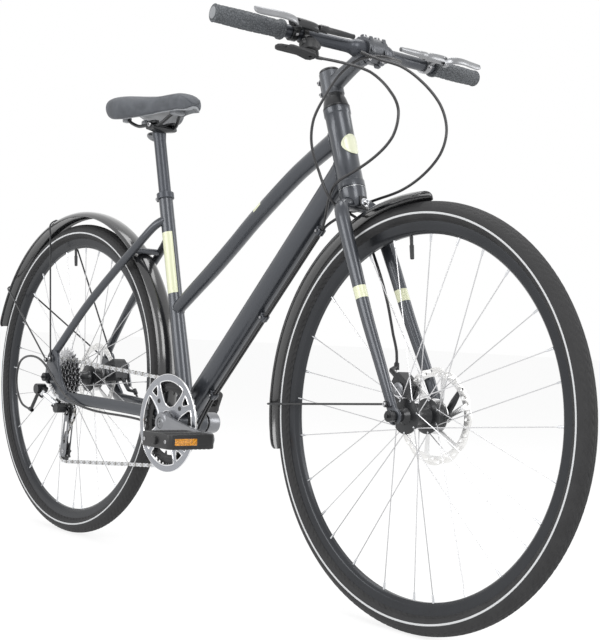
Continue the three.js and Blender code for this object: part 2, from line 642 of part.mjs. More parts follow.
// Two rails of plates joined by a roller at every pin on a wheel and at every third pin between wheels.
function chainSolid() {
  const points = [];
  const index = [];
  const quad = (a, b, c, d) => index.push(a, b, c, a, c, d);
  const stations = [];
  pins.forEach(({ place, straight }, i) => {
    if (straight && i % chain.rollerEvery) {
      return;
    }
    const { face, back } = chain;
    const neighbours = [pins[(i + pins.length - 1) % pins.length], pins[(i + 1) % pins.length]];
    neighbours.forEach((neighbour, k) => {
      const along = (k ? neighbour.place.clone().sub(place) : place.clone().sub(neighbour.place)).normalize();
      const middle = place.clone().lerp(neighbour.place, chain.pinHalf / chain.pitch);
      stations.push({ middle, up: at(-along.z, 0, along.x), half: chain.plateHalf, face, back });
    });
  });
  for (const { middle, up, half, face, back } of stations) {
    for (const side of [-1, 1]) {
      for (const [y, sign] of [[back, 1], [back, -1], [face, 0]]) {
        points.push(middle.clone().addScaledVector(up, sign * half).setY(chain.line + side * y));
      }
    }
  }
  const corner = (station, side, k) => (station % stations.length) * 6 + side * 3 + (k % 3);
  for (let s = 0; s < stations.length; s += 1) {
    const roller = s % 2 === 0;
    for (const side of [0, 1]) {
      for (let k = 0; k < (roller ? 1 : 3); k += 1) {
        const [a, b] = [corner(s, side, k), corner(s, side, k + 1)];
        const [c, d] = [corner(s + 1, side, k + 1), corner(s + 1, side, k)];
        if (side) {
          quad(a, d, c, b);
        } else {
          quad(a, b, c, d);
        }
      }
    }
    if (roller) {
      const pairs = (side) => [0, 1, 2].map((k) => [corner(s, side, k), corner(s + 1, side, k)]);
      const [right, left] = [pairs(0), pairs(1)];
      quad(right[0][0], right[0][1], left[0][1], left[0][0]);
      quad(right[1][0], left[1][0], left[1][1], right[1][1]);
      for (const end of [0, 1]) {
        const [top, low, ridge] = right.map((pair) => pair[end]);
        const [topLeft, lowLeft, ridgeLeft] = left.map((pair) => pair[end]);
        const faces = [[top, topLeft, ridgeLeft, ridge], [ridge, ridgeLeft, lowLeft, low]];
        faces.forEach(([a, b, c, d]) => (end ? quad(a, d, c, b) : quad(a, b, c, d)));
      }
    }
  }
  const geometry = new THREE.BufferGeometry().setFromPoints(points);
  geometry.setIndex(index);
  return solid(geometry);
}

// The cogs that the chain is off have plain pointed teeth.
function pointed(teeth) {
  const pitch = pitchRadius(teeth);
  return Array.from({ length: 2 * teeth }, (_, i) => (
    polar(i % 2 ? pitch + tooth.above : pitch - tooth.below, (180 * i) / teeth)
  ));
}

function cassetteSolid() {
  const cogs = cassette.cogs.map((teeth, i) => {
    const middle = chain.line + (i - cassette.running) * cassette.spacing;
    const outline = i === cassette.running ? toothed(teeth, phases[3]) : pointed(teeth);
    return plate(outline, middle - tooth.thickness / 2, middle + tooth.thickness / 2);
  });
  const after = cassette.cogs.length - 1 - cassette.running;
  const first = chain.line - cassette.running * cassette.spacing - tooth.thickness / 2;
  const last = chain.line + after * cassette.spacing + tooth.thickness / 2;
  const carrier = disc(0, 0, cassette.carrier, first + gap, last - gap, 8);
  const bore = disc(0, 0, (rearHub.freehub + gap) / Math.cos(Math.PI / 8), first - overrun, last + overrun,
    8);
  return cut(join(...cogs, carrier), bore);
}

function chainringSolid() {
  const low = chain.line - ring.thickness / 2;
  const high = low + ring.thickness;
  const band = plate(toothed(ring.teeth, phases[0]), low, high, [circle(ring.inner, 20)]);
  return join(band, ...flatTabs(ring.tabReach, ring.inner + ring.thickness, low, high));
}

const armTurn = (i) => guard.windowTurn + (360 * (i + 1 / 2)) / guard.windows;

// Lugs that reach inward to the ring bolts.
function flatTabs(inner, outer, low, high) {
  return Array.from({ length: guard.windows }, (_, i) => {
    const turn = armTurn(i);
    const spreadIn = THREE.MathUtils.radToDeg(ring.tabHalf / 2 / inner);
    const spreadOut = THREE.MathUtils.radToDeg(ring.tabHalf / outer);
    const outline = [
      polar(inner, turn - spreadIn), polar(outer, turn - spreadOut), polar(outer, turn + spreadOut),
      polar(inner, turn + spreadIn),
    ];
    return plate(outline, low, high);
  });
}

function guardSolid() {
  const step = 360 / guard.windows;
  const holes = [circle(guard.bore, 16)];
  for (let i = 0; i < guard.windows; i += 1) {
    const middle = guard.windowTurn + i * step;
    const half = guard.windowHalfAngle;
    const arc = Array.from({ length: 7 }, (_, j) => polar(guard.rimInner, middle + half - (half * j) / 3));
    const inner = [-1, 0, 1].map((k) => polar(guard.windowInner, middle + (k * half) / 2));
    holes.push([...inner, ...arc]);
    const slot = middle + step / 2;
    holes.push([
      polar(guard.slotInner, slot), polar(guard.slotTop, slot + guard.slotHalfAngle),
      polar(guard.slotTop, slot - guard.slotHalfAngle),
    ]);
  }
  const high = chain.line - ring.thickness / 2 - crank.spiderThick - 2 * gap;
  return plate(circle(guard.radius, 42), high - guard.thickness, high, holes);
}

function spindleSolid() {
  return disc(0, 0, crank.spindleRadius, -bracket.spindleHalf, bracket.spindleHalf, 12);
}

// A tapering arm from the spindle to the pedal eye, with the pedal's spindle screwed into it.
function crankArm(side, turn) {
  const along = around(at(0, 0, 0), 1, turn);
  const middle = (distance, y) => along.clone().multiplyScalar(distance).setY(side * y);
  const rootY = crank.armInner + crank.armThick / 2;
  const eyeY = crank.eyeInner + crank.eyeThick / 2;
  const arm = tube([
    { at: middle(0, rootY), wide: crank.armThick / 2, deep: crank.rootHalf },
    { at: middle(crank.length / 4, rootY), wide: crank.armThick / 2, deep: crank.rootHalf * 0.8 },
    { at: middle(crank.length / 2, (rootY + eyeY) / 2), wide: crank.armThick / 2,
      deep: crank.neckHalf * 1.15 },
    { at: middle(crank.length, eyeY), wide: crank.eyeThick / 2, deep: crank.neckHalf },
  ], 8);
  const hub = disc(0, 0, crank.hub, side * crank.hubInner, side * crank.hubOuter, 12);
  const [eyeX, eyeZ] = [along.x * crank.length, along.z * crank.length];
  const eyeOuter = crank.eyeInner + crank.eyeThick;
  const eye = disc(eyeX, eyeZ, crank.eye, side * crank.eyeInner, side * eyeOuter, 12);
  const spindleEnd = pedal.inner + pedal.width + pedal.capLength / 2;
  const spindle = disc(eyeX, eyeZ, pedal.spindle, side * crank.eyeInner, side * spindleEnd, 8);
  const cap = disc(eyeX, eyeZ, pedal.cap, side * (pedal.inner + pedal.width + gap),
    side * (pedal.inner + pedal.width + pedal.capLength), 10);
  const bore = disc(0, 0, crank.spindleRadius + gap, side * (crank.hubInner - overrun),
    side * (bracket.spindleHalf + gap), 12);
  return cut(join(arm, hub, eye, spindle, cap), bore);
}

function rightCrankSolid() {
  const high = chain.line - ring.thickness / 2 - gap;
  const low = high - crank.spiderThick;
  const spider = Array.from({ length: guard.windows }, (_, i) => {
    const turn = armTurn(i);
    const spread = THREE.MathUtils.radToDeg(crank.spiderHalf / crank.spiderReach);
    return plate([
      polar(crank.hub / 2, turn - 60), polar(crank.spiderReach, turn - spread),
      polar(crank.spiderReach, turn + spread), polar(crank.hub / 2, turn + 60),
    ], low, high);
  });
  const bore = disc(0, 0, crank.spindleRadius + gap, -crank.hubInner + overrun, -bracket.spindleHalf - gap,
    12);
  return cut(join(crankArm(-1, crank.turn), ...spider), bore);
}

// A moulded cage with two windows, turning on the crank's spindle.
function pedalSolid(side, turn) {
  const [length, width] = [pedal.length / 2, pedal.width];
  const { corner } = pedal;
  const outline = [
    [-length + corner, 0], [length - corner, 0], [length, corner], [length, width - corner],
    [length - corner, width], [-length + corner, width], [-length, width - corner], [-length, corner],
  ];
  const window = (from, to) => [
    [from, pedal.wall], [to, pedal.wall], [to, width - pedal.wall], [from, width - pedal.wall],
  ];
  const holes = [window(-length + pedal.bar, -pedal.barrel), window(pedal.barrel, length - pedal.bar)];
  const body = plate(outline, -pedal.height / 2, pedal.height / 2, holes);
  const upright = new THREE.Matrix4().makeRotationX(rad(-90));
  const placed = geometryOf(body).applyMatrix4(upright);
  placed.scale(1, side, 1);
  placed.translate(0, side * pedal.inner, 0);
  const bore = disc(0, 0, pedal.spindle + pedal.play, side * (pedal.inner - overrun),
    side * (pedal.inner + width + overrun), 12);
  const whole = cut(solid(placed), bore);
  const geometry = geometryOf(whole);
  geometry.rotateY(rad(-turn));
  return solid(geometry);
}

function addCrankset() {
  const group = new THREE.Group();
  group.position.copy(bracketAt);
  group.add(
    addPiece('crank_spindle', 'steel', spindleSolid()),
    addPiece('right_crank', 'grey', rightCrankSolid()),
    addPiece('chain_guard', 'silver', guardSolid()),
    addPiece('chainring', 'black', chainringSolid()),
    addPiece('left_crank', 'grey', crankArm(1, crank.turn + 180)),
  );
  for (const [name, side, turn] of [['right', -1, crank.turn], ['left', 1, crank.turn + 180]]) {
    const mesh = addPiece(`${name}_pedal`, 'black', pedalSolid(side, side > 0 ? pedal.leftTurn : 0));
    mesh.position.copy(around(at(0, 0, 0), crank.length, turn));
    group.add(mesh);
  }
  bikeGroup.add(group);
}

// Derailleur

const plateFace = dropout.inner + dropout.thickness;
const hangerAt = rearAxle.clone().add(at(-hanger.behind, 0, -hanger.below));
const cagePivot = guideAt.clone().add(at(-mech.pivotBehind, 0, mech.pivotAbove));
const towardCage = cagePivot.clone().sub(hangerAt).normalize();
const upperPin = hangerAt.clone().addScaledVector(towardCage, mech.pinReach).setY(mech.upperPinY);
const lowerPin = cagePivot.clone().addScaledVector(towardCage, -mech.pinReach).setY(mech.lowerPinY);
const linkAlong = lowerPin.clone().sub(upperPin).normalize();
const linkTravel = at(
  Math.sin(rad(mech.slant)) * towardCage.z, Math.cos(rad(mech.slant)),
    -Math.sin(rad(mech.slant)) * towardCage.x,
);
const linkAxis = linkAlong.clone().cross(linkTravel).normalize();

// A forked lug with a pin that one end of the link turns on.
function pinFork(pin) {
  const half = mech.linkThick / 2 + gap + mech.earThick;
  const slot = mech.linkThick / 2 + gap;
  const across = (reach, radius, sides) => (
    rod(pin.clone().addScaledVector(linkAxis, -reach), pin.clone().addScaledVector(linkAxis, reach), radius,
      sides)
  );
  const lug = across(half, mech.ear, 8);
  const room = across(slot, mech.ear + mech.pin, 8);
  const pinRod = across(half, mech.pin, 6);
  return { lug, room, pinRod };
}

// The knuckle that hangs from the frame, with the arm that stops the cable's sheath.
function mountKnuckleSolid() {
  const face = -plateFace - gap;
  const barrel = disc(hangerAt.x, hangerAt.z, mech.knuckle, face - mech.knuckleLength, face, 10);
  const bolt = disc(hangerAt.x, hangerAt.z, hanger.bolt, face, -dropout.inner, 6);
  const { lug, room, pinRod } = pinFork(upperPin);
  const stop = stopAt(shiftRoute);
  const arm = rod(hangerAt.clone().setY(stop.centre.y), stop.centre, mech.stopArm, 8);
  return cut(join(cut(join(barrel, lug), room), pinRod, bolt, arm, stop.ring), stop.bore);
}

function linkSolid() {
  const half = linkAxis.clone().multiplyScalar(mech.linkThick / 2);
  const ends = [upperPin, lowerPin].map((pin) => rod(pin.clone().sub(half), pin.clone().add(half),
    mech.linkEnd, 8));
  const bar = tube([
    { at: upperPin, wide: mech.linkHalf, deep: mech.linkThick / 2 },
    { at: lowerPin, wide: mech.linkHalf, deep: mech.linkThick / 2 },
  ], 8, linkTravel);
  const bores = [upperPin, lowerPin].map((pin) => (
    rod(pin.clone().addScaledVector(half, -overrun), pin.clone().addScaledVector(half, overrun),
      mech.pin + 2 * gap, 6)
  ));
  return cut(join(bar, ...ends), ...bores);
}

const cageOuter = chain.line - mech.cageGap;

function cageKnuckleSolid() {
  const high = cageOuter - mech.cageThick - gap;
  const low = high - mech.cageKnuckleLength;
  const barrel = disc(cagePivot.x, cagePivot.z, mech.cageKnuckle, low, high, 10);
  const bore = disc(cagePivot.x, cagePivot.z, mech.pivot + gap, high - mech.pivotDepth - gap,
    high + overrun, 10);
  const { lug, room, pinRod } = pinFork(lowerPin);
  return cut(join(cut(join(barrel, lug), room), pinRod), bore);
}

function cageSolid() {
  const [guide, tension, pivot] = [guideAt, tensionAt, cagePivot].map((place) => [place.x, place.z]);
  const body = capsule(guide, mech.cageHalf, tension, mech.cageHalf);
  const outer = join(
    plate(body, cageOuter - mech.cageThick, cageOuter),
    plate(capsule(pivot, mech.cageHalf, guide, mech.cageHalf), cageOuter - mech.cageThick, cageOuter),
  );
  const far = chain.line + mech.cageGap;
  const inner = plate(body, far, far + mech.cageThick);
  const pinsThrough = [guideAt, tensionAt].map((place) => disc(place.x, place.z, mech.pin, cageOuter, far,
    8));
  const high = cageOuter - mech.cageThick / 2;
  const stub = disc(cagePivot.x, cagePivot.z, mech.pivot, high - mech.pivotDepth, high, 10);
  return join(outer, inner, ...pinsThrough, stub);
}

function pulleySolid(phase) {
  const [low, high] = [chain.line - pulley.thickness / 2, chain.line + pulley.thickness / 2];
  const teeth = plate(toothed(pulley.teeth, phase, pulley.above), low, high);
  const hub = disc(0, 0, pulley.hub, chain.line - pulley.hubHalf, chain.line + pulley.hubHalf, 10);
  const bore = disc(0, 0, mech.pin + gap, chain.line - mech.cageGap, chain.line + mech.cageGap, 8);
  return cut(join(teeth, hub), bore);
}

function addDrive() {
  const cogs = addPiece('cassette', 'steel', cassetteSolid());
  cogs.position.copy(rearAxle);
  addPiece('chain', 'steel', chainSolid());
  addPiece('derailleur_mount_knuckle', 'black', mountKnuckleSolid());
  addPiece('derailleur_link', 'silver', linkSolid());
  addPiece('derailleur_cage_knuckle', 'black', cageKnuckleSolid());
  addPiece('derailleur_cage', 'grey', cageSolid());
  addPiece('guide_pulley', 'black', pulleySolid(phases[2])).position.copy(guideAt);
  addPiece('tension_pulley', 'black', pulleySolid(phases[1])).position.copy(tensionAt);
}

// Cable routes, in the frame's axes, chosen by hand along the bicycle

const [, downFoot, , , downTop] = downTube.places.map(([x, z]) => at(x, 0, z));
const downAlong = downTop.clone().sub(downFoot).normalize();
const downUnder = at(downAlong.z, 0, -downAlong.x);
const onDownTube = (distance, y = 0) => downTop.clone().addScaledVector(downAlong, -distance)
  .addScaledVector(downUnder, clip.below).setY(y);
const clipEnds = clip.places.flatMap((place) => [place - clip.straight, place + clip.straight]);
const onClips = (y) => clipEnds.map((distance) => onDownTube(distance, y));
const points = (list) => list.map(([x, y, z]) => at(x, y, z));

const rearBrakeRoute = [
  ...points([
    [407, -42, 949], [424, -13, 939], [441, 18, 932], [463, 45, 910], [486, 72, 871], [495, 82, 828],
    [490, 74, 785], [464, 56, 746], [427, 46, 724], [385, 43, 714], [352, 35, 704], [322, 15, 685],
  ]),
  ...onClips(cable.apart / 2),
  ...points([
    [-60, 4, 284], [-84, 5, 254.5], [-110, 6, 254], [-150, 16, 260], [-221, 36, 279.5], [-334, 46, 283.5],
    [-375, 62, 288], [-401, 76, 307], [-418, 77.8, 325],
  ]),
];
const shiftRoute = [
  ...points([
    [381, -116, 930], [404, -85, 925], [435, -45, 912], [470, -30, 878], [493, -31, 843], [488, -36, 801],
    [452, -41, 769], [400, -41, 747], [352, -36, 731], [323, -25, 705],
  ]),
  ...onClips(-cable.apart / 2),
  ...points([
    [-60, -4, 284], [-84, -5, 254.5], [-110, -6, 254], [-150, -16, 260], [-221, -36, 279.5], [-334, -46,
      283.5],
    [-398, -60, 290], [-440, -78, 307], [-482, -88, 340], [-524, -91, 374], [-560, -91, 389], [-608, -91,
      391],
    [-645, -90, 377], [-662, -88, 345], [-657, -87, 310], [-632, -86, 281], [-590, -86, 272],
  ]),
];
const frontBrakeRoute = [
  ...points([
    [406, 52, 950], [418, 18, 948], [414, -14, 946], [397, -38, 938], [371, -54, 915], [345, -66, 874],
    [326, -70, 840], [320, -68, 806], [322, -62, 778], [326, -52, 752], [338, -40, 713], [344, -20, 693],
    [348, 8, 683], [364, 28, 664], [384, 31, 617], [404, 32, 578], [420, 38, 528], [424, 50, 478], [426, 58,
      450],
    [426.5, 59.7, 424],
  ]),
];

// The sheath, with the bare wire that runs on from its last point.
function cableSolid(route, end) {
  const sheath = wire(route, cable.radius, 8);
  if (!end) {
    return sheath;
  }
  const last = route[route.length - 1];
  const short = end.clone().sub(last).setLength(end.distanceTo(last) - caliper.armTip - gap);
  return join(sheath, rod(last, last.clone().add(short), cable.inner, 4));
}

// A guide round a cable where its route passes one of its points.
function guideAlong(route, index, half, outer = clip.ring) {
  const curve = new THREE.CatmullRomCurve3(route, false, 'centripetal');
  const along = curve.getTangent(index / (route.length - 1));
  const centre = route[index];
  const [from, to] = [-half, half].map((d) => centre.clone().addScaledVector(along, d));
  const beyond = [-half - overrun, half + overrun].map((d) => centre.clone().addScaledVector(along, d));
  return { centre, ring: rod(from, to, outer, 8), bore: rod(...beyond, cable.bore, 8) };
}
const stopAt = (route) => guideAlong(route, route.length - 1, clip.stopHalf);

// Frame

function headTubeSolid() {
  const { collar, collarHeight: height, radius } = head;
  const levels = [
    [headBottom, collar], [headBottom + height, collar], [headBottom + height + gap, radius],
    [headTop - height - gap, radius], [headTop - height, collar], [headTop, collar],
  ];
  return tube(levels.map(([up, half]) => ({ at: steer(up, 0), wide: half, deep: half })), 14);
}

function headBores() {
  const seatRadius = (steerer.radius + steerer.play) / Math.cos(Math.PI / 12);
  return [
    rod(steer(headBottom - overrun, 0), steer(headTop + overrun, 0), seatRadius, 12),
    rod(steer(headBottom + steerer.bearingHeight, 0), steer(headTop - steerer.bearingHeight, 0), head.bore,
      12),
  ];
}

function downTubeSolid() {
  const { deep, wide, places, wideShares, deepShares } = downTube;
  return tube(places.map(([x, z], i) => (
    { at: at(x, 0, z), wide: wide * wideShares[i], deep: deep * deepShares[i] }
  )), 12);
}

function topTubeSolid() {
  const { half, places, shares } = topTube;
  return tube(places.map(([x, z], i) => ({ at: at(x, 0, z), wide: half * shares[i],
    deep: half * shares[i] })), 10);
}

function stayTube(places, side, wide, deep) {
  return tube(places.map(([x, y, z]) => ({ at: at(x, side * y, z), wide, deep })), 8);
}

// The plate that joins the stays and holds the rear axle in a slot open at the bottom.
function dropoutSolids(side) {
  const levels = side > 0 ? [dropout.inner, plateFace] : [-plateFace, -dropout.inner];
  const solids = [plate(dropout.band, ...levels), disc(rearAxle.x, rearAxle.z, dropout.axleRing, ...levels,
    16)];
  if (side < 0) {
    const [from, to] = [rearAxle, hangerAt].map(({ x, z }) => [x, z]);
    solids.push(plate(capsule(from, hanger.reach, to, hanger.reach), ...levels));
  } else {
    solids.push(plate(mountTab(rearAxle, caliper.rearTurn, caliper.rearTab), ...levels));
  }
  const eyelets = fenderStay.eyelets.map(([x, z]) => (
    disc(x, z, dropout.eyelet, side * dropout.inner, side * (plateFace + dropout.eyeletOut), 8)
  ));
  return [...solids, ...eyelets];
}

// A tab from polar points about an axle, given as turns from the caliper's middle.
function mountTab(centre, turn, places) {
  return places.map(([radius, offset]) => polar(radius, turn + offset, centre.x, centre.z));
}

function dropoutCuts(centre, slot, turn, reach) {
  const mouth = around(centre, reach, turn);
  const half = around(at(0, 0, 0), slot, turn + 90);
  const outline = [[centre, -1], [mouth, -1], [mouth, 1], [centre, 1]].map(([place, sign]) => (
    [place.x + sign * half.x, place.z + sign * half.z]
  ));
  const wide = plateFace + overrun;
  return [plate(outline, -wide, wide), disc(centre.x, centre.z, slot, -wide, wide, 16)];
}

// Blocks under the down tube that hold the two cables side by side.
function clipSolids() {
  return clip.places.map((place) => {
    const [foot, top] = [clip.deep, -clip.below + downTube.deep - overrun].map((d) => (
      onDownTube(place).addScaledVector(downUnder, d)
    ));
    return tube([
      { at: top, wide: clip.wide * 0.6, deep: clip.long / 2 },
      { at: onDownTube(place).addScaledVector(downUnder, -clip.deep), wide: clip.wide, deep: clip.long / 2 },
      { at: foot, wide: clip.wide * 0.9, deep: clip.long / 2 },
    ], 4);
  });
}

function clipBores() {
  return clip.places.flatMap((place) => [-cable.apart / 2, cable.apart / 2].map((y) => (
    rod(onDownTube(place - clip.straight, y), onDownTube(place + clip.straight, y), cable.bore, 8)
  )));
}

function frameSolid() {
  const seatTube = tube([
    { at: onSeatTube(0), wide: seat.tubeRoot, deep: seat.tubeRoot },
    { at: onSeatTube(seat.taperFrom), wide: seat.tubeRoot, deep: seat.tubeRoot },
    { at: onSeatTube(seat.taperTo), wide: seat.tubeRadius, deep: seat.tubeRadius },
    { at: onSeatTube(seat.tubeTop), wide: seat.tubeRadius, deep: seat.tubeRadius },
  ], 12);
  const shell = disc(bracketAt.x, bracketAt.z, bracket.shellRadius, -bracket.shellHalf, bracket.shellHalf,
    16);
  const bridges = fender.bridgeTurns.map((turn, i) => {
    const centre = around(rearAxle, fender.rearCrown + gap + stay.bridge, turn);
    return rod(centre.clone().setY(-fender.bridgeHalf[i]), centre.clone().setY(fender.bridgeHalf[i]),
      stay.bridge, 8);
  });
  const sides = [-1, 1].flatMap((side) => [
    stayTube(stay.chainPlaces, side, stay.chainWide, stay.chainDeep),
    stayTube(stay.seatPlaces, side, stay.seatWide, stay.seatDeep),
    ...dropoutSolids(side),
  ]);
  const guides = [rearBrakeRoute, shiftRoute].map((route) => guideAlong(route, guideIndex(route),
    clip.long / 2));
  const hangers = guides.map(({ centre }) => rod(centre, centre.clone().add(at(0, 0, clip.reach)),
    clip.post, 6));
  const under = rearBrakeRoute.find((point) => point.x < bracketAt.x);
  const shoe = block(at(clip.long, 2 * clip.wide, clip.shellDrop * 3), at(under.x, 0,
    under.z + clip.shellDrop));
  const shoeBores = [-under.y, under.y].map((y) => (
    rod(at(under.x - clip.long, y, under.z), at(under.x + clip.long, y, under.z), cable.bore, 8)
  ));
  const body = join(
    seatTube, shell, downTubeSolid(), topTubeSolid(), headTubeSolid(), ...bridges, ...sides, ...clipSolids(),
    ...guides.map(({ ring: collar }) => collar), ...hangers, shoe,
  );
  return cut(
    body, ...headBores(), ...clipBores(), ...guides.map(({ bore }) => bore), ...shoeBores,
    ...dropoutCuts(rearAxle, dropout.slot, dropout.mouthTurn, dropout.axleRing + overrun),
    rod(onSeatTube(seat.tubeTop - seat.boreDepth), onSeatTube(seat.tubeTop + overrun), seat.bore, 12),
    disc(bracketAt.x, bracketAt.z, bracket.bore / Math.cos(Math.PI / 12), -bracket.shellHalf - overrun,
      bracket.shellHalf + overrun, 12),
    disc(hangerAt.x, hangerAt.z, hanger.bolt + gap, -plateFace - overrun, -dropout.inner + overrun, 10),
  );
}

// A guide under each chainstay holds one of the route's points behind the bracket shell.
const guideIndex = (route) => route.findIndex((point) => point.x < bracketAt.x) + clip.after;

function bottomBracketSolid() {
  const { bore, lip, lipThick, shellHalf } = bracket;
  const inner = crank.spindleRadius + axle.play;
  const [near, far] = [shellHalf + gap, shellHalf + lipThick];
  const profile = [
    [inner, -far], [lip, -far], [lip, -near], [bore - gap, -near], [bore - gap, near], [lip, near], [lip,
      far],
    [inner, far], [inner, -far],
  ];
  return turned(profile, 12);
}

// Mudguards: a thin curved section carried round the wheel

function fenderSolid(centre, crown, turns) {
  const { half, edgeDrop, shoulderHalf, shoulderDrop, wall } = fender;
  const outer = [
    [-half, edgeDrop], [-shoulderHalf, shoulderDrop], [0, 0], [shoulderHalf, shoulderDrop], [half, edgeDrop],
  ];
  const inner = [[half - wall, edgeDrop], [0, 2 * wall], [-half + wall, edgeDrop]];
  const section = [...outer, ...inner];
  return loft(turns.map((turn) => section.map(([y, drop]) => around(centre, crown - drop, turn, y))));
}

const steps = (from, to, count) => Array.from({ length: count + 1 }, (_, i) => mix(from, to, i / count));

// A wire stay from the eyelet on one side over the mudguard's crown to the other side.
function fenderStaySolid(centre, crown, turn, eyelet, face) {
  const out = crown + gap + fenderStay.wire;
  const shoulder = around(centre, out - fender.shoulderDrop, turn, fender.shoulderHalf + fenderStay.wire);
  const edge = around(centre, out - fender.edgeDrop, turn, fender.half + fenderStay.wire + 2 * gap);
  const eye = at(eyelet[0], face + fenderStay.eyeThick / 2 + gap, eyelet[1]);
  const leave = eye.clone().lerp(edge, 2 * fenderStay.eye / eye.distanceTo(edge)).setY(eye.y);
  const left = [eye, leave, edge, shoulder];
  const right = left.map(mirrored).reverse();
  const path = [...left, around(centre, out, turn), ...right];
  const stations = path.map((place) => ({ at: place, wide: fenderStay.wire, deep: fenderStay.wire }));
  const heading = around(at(0, 0, 0), 1, turn + 90);
  const eyes = [-1, 1].map((side) => (
    disc(eye.x, eye.z, fenderStay.eye, side * (face + gap), side * (face + gap + fenderStay.eyeThick), 8)
  ));
  return join(tube(stations, 6, heading), ...eyes);
}

// Brakes

// A cable caliper that straddles the rotor, with its outer face against the mounting tab.
function caliperSolid(centre, turn, hub, face, plateOuter, route, foot, bend) {
  const place = (radius, offset, y) => around(centre, radius, turn + offset, y);
  const low = hub.rotorAt - caliper.inboard;
  const outline = [
    [caliper.inner, -caliper.half * 0.8], [caliper.outer - caliper.bevel, -caliper.half],
    [caliper.outer, -caliper.half + caliper.bevel], [caliper.outer, caliper.half - caliper.bevel],
    [caliper.outer - caliper.bevel, caliper.half], [caliper.inner, caliper.half * 0.8],
  ].map(([radius, across]) => {
    const point = around(centre, radius, turn).addScaledVector(around(at(0, 0, 0), 1, turn + 90), across);
    return [point.x, point.z];
  });
  const slotOuter = rotor.radius + 2 * caliper.slotHalf;
  const slotCircle = circle(slotOuter, 24, centre.x, centre.z);
  const slot = plate(slotCircle, hub.rotorAt - caliper.slotHalf, hub.rotorAt + caliper.slotHalf);
  const boss = place(caliper.bossAt, caliper.bossTurn, 0);
  const armLow = plateOuter + caliper.armGap;
  const armHigh = armLow + caliper.armThick;
  const bossSolids = [
    disc(boss.x, boss.z, caliper.boss, face - 2 * overrun, armLow - gap, 10),
    disc(boss.x, boss.z, caliper.pin, armLow - overrun, armHigh + overrun, 8),
    disc(boss.x, boss.z, caliper.pinHead, armHigh + gap, armHigh + overrun, 8),
  ];
  const stop = stopAt(route);
  const elbow = stop.centre.clone().add(at(...bend));
  const solids = [
    cut(plate(outline, low, face), slot), ...bossSolids, rod(at(...foot), elbow, caliper.stopArm, 8),
    rod(elbow, stop.centre, caliper.stopArm * 0.8, 8), stop.ring,
  ];
  return cut(join(...solids), stop.bore);
}

const armEndAt = ([x, z], plateOuter) => at(x, plateOuter + caliper.armGap + caliper.armThick / 2, z);

function caliperArmSolid(centre, turn, armEnd, plateOuter) {
  const boss = around(centre, caliper.bossAt, turn + caliper.bossTurn);
  const low = plateOuter + caliper.armGap;
  const outline = capsule([boss.x, boss.z], caliper.armRoot, armEnd, caliper.armTip);
  const bore = disc(boss.x, boss.z, caliper.pin + gap, low - overrun, low + caliper.armThick + overrun, 8);
  return cut(plate(outline, low, low + caliper.armThick), bore);
}

// Fork and steering, in axes ahead of, left of and up the steerer from the crown race

const steering = new THREE.Group();
steering.position.copy(race);
steering.rotation.y = rad(bike.headAngle - 90);
const toLocalTurn = bike.headAngle - 90;
const axleLocal = at(bike.forkOffset, 0, -bike.forkLength);

function forkLegSolid(side) {
  const stations = forkLeg.map(([ahead, left, up, wide, deep]) => ({ at: at(ahead, side * left, up), wide,
    deep }));
  return tube(stations, 8, at(1, 0, 0));
}

function forkSolid() {
  const { radius, top, cupHeight, cup } = steerer;
  const [ahead, up] = [axleLocal.x, axleLocal.z];
  const steererRod = rod(at(0, 0, -stem.capHeight), at(0, 0, top), radius, 12);
  const crown = rod(at(0, 0, -2 * radius), at(0, 0, 0), radius + overrun, 12);
  const crownRace = rod(at(0, 0, -overrun), at(0, 0, cupHeight - gap), cup, 16);
  const lug = rod(at(0, 0, -radius), at(0, 0, -fender.lugReach), stay.bridge, 10);
  const lugCut = disc(ahead, up, fender.frontCrown + gap, -radius, radius, 60);
  const ends = [-1, 1].flatMap((side) => {
    const levels = [forkEnd.inner, forkEnd.inner + forkEnd.thickness].map((y) => side * y).sort((a,
      b) => a - b);
    const [x, z] = fenderStay.forkEyelet;
    const lugAt = [x + forkEnd.lugAhead, z + forkEnd.lugAbove];
    const eyeletOuter = forkEnd.inner + forkEnd.thickness + forkEnd.eyeletOut;
    return [
      plate(capsule(lugAt, forkEnd.ring * 0.7, [ahead, up], forkEnd.ring), ...levels),
      disc(x, z, dropout.eyelet, side * forkEnd.inner, side * eyeletOuter, 8),
    ];
  });
  const tabOutline = mountTab(axleLocal, caliper.frontTurn + toLocalTurn, caliper.frontTab);
  const tab = plate(tabOutline, forkEnd.inner, forkEnd.inner + forkEnd.thickness);
  const body = join(
    steererRod, crown, crownRace, forkLegSolid(1), forkLegSolid(-1), cut(lug, lugCut), ...ends, tab,
  );
  return cut(body, ...dropoutCuts(axleLocal, forkEnd.slot, -90, forkEnd.ring + overrun));
}

function headsetCoverSolid() {
  const bore = (steerer.radius + gap) / Math.cos(Math.PI / 12);
  const [low, cone, high] = [headTop + gap, headTop + stem.coneHeight,
    stem.clampUp - stem.clampHeight / 2 - gap];
  const profile = [
    [bore, low], [stem.coneBottom, low], [stem.coneTop, cone], [stem.coneTop, high], [bore, high], [bore,
      low],
  ];
  return solid(new THREE.LatheGeometry(profile.map(([r, y]) => new THREE.Vector2(r, y)),
    12).rotateX(rad(90)));
}

const barCentre = at(stem.reach, 0, stem.barUp);
const barHalfSpace = (ahead) => block(
  at(2 * stem.grip, 3 * stem.grip, 3 * stem.grip), at(barCentre.x + ahead, 0, barCentre.z),
);

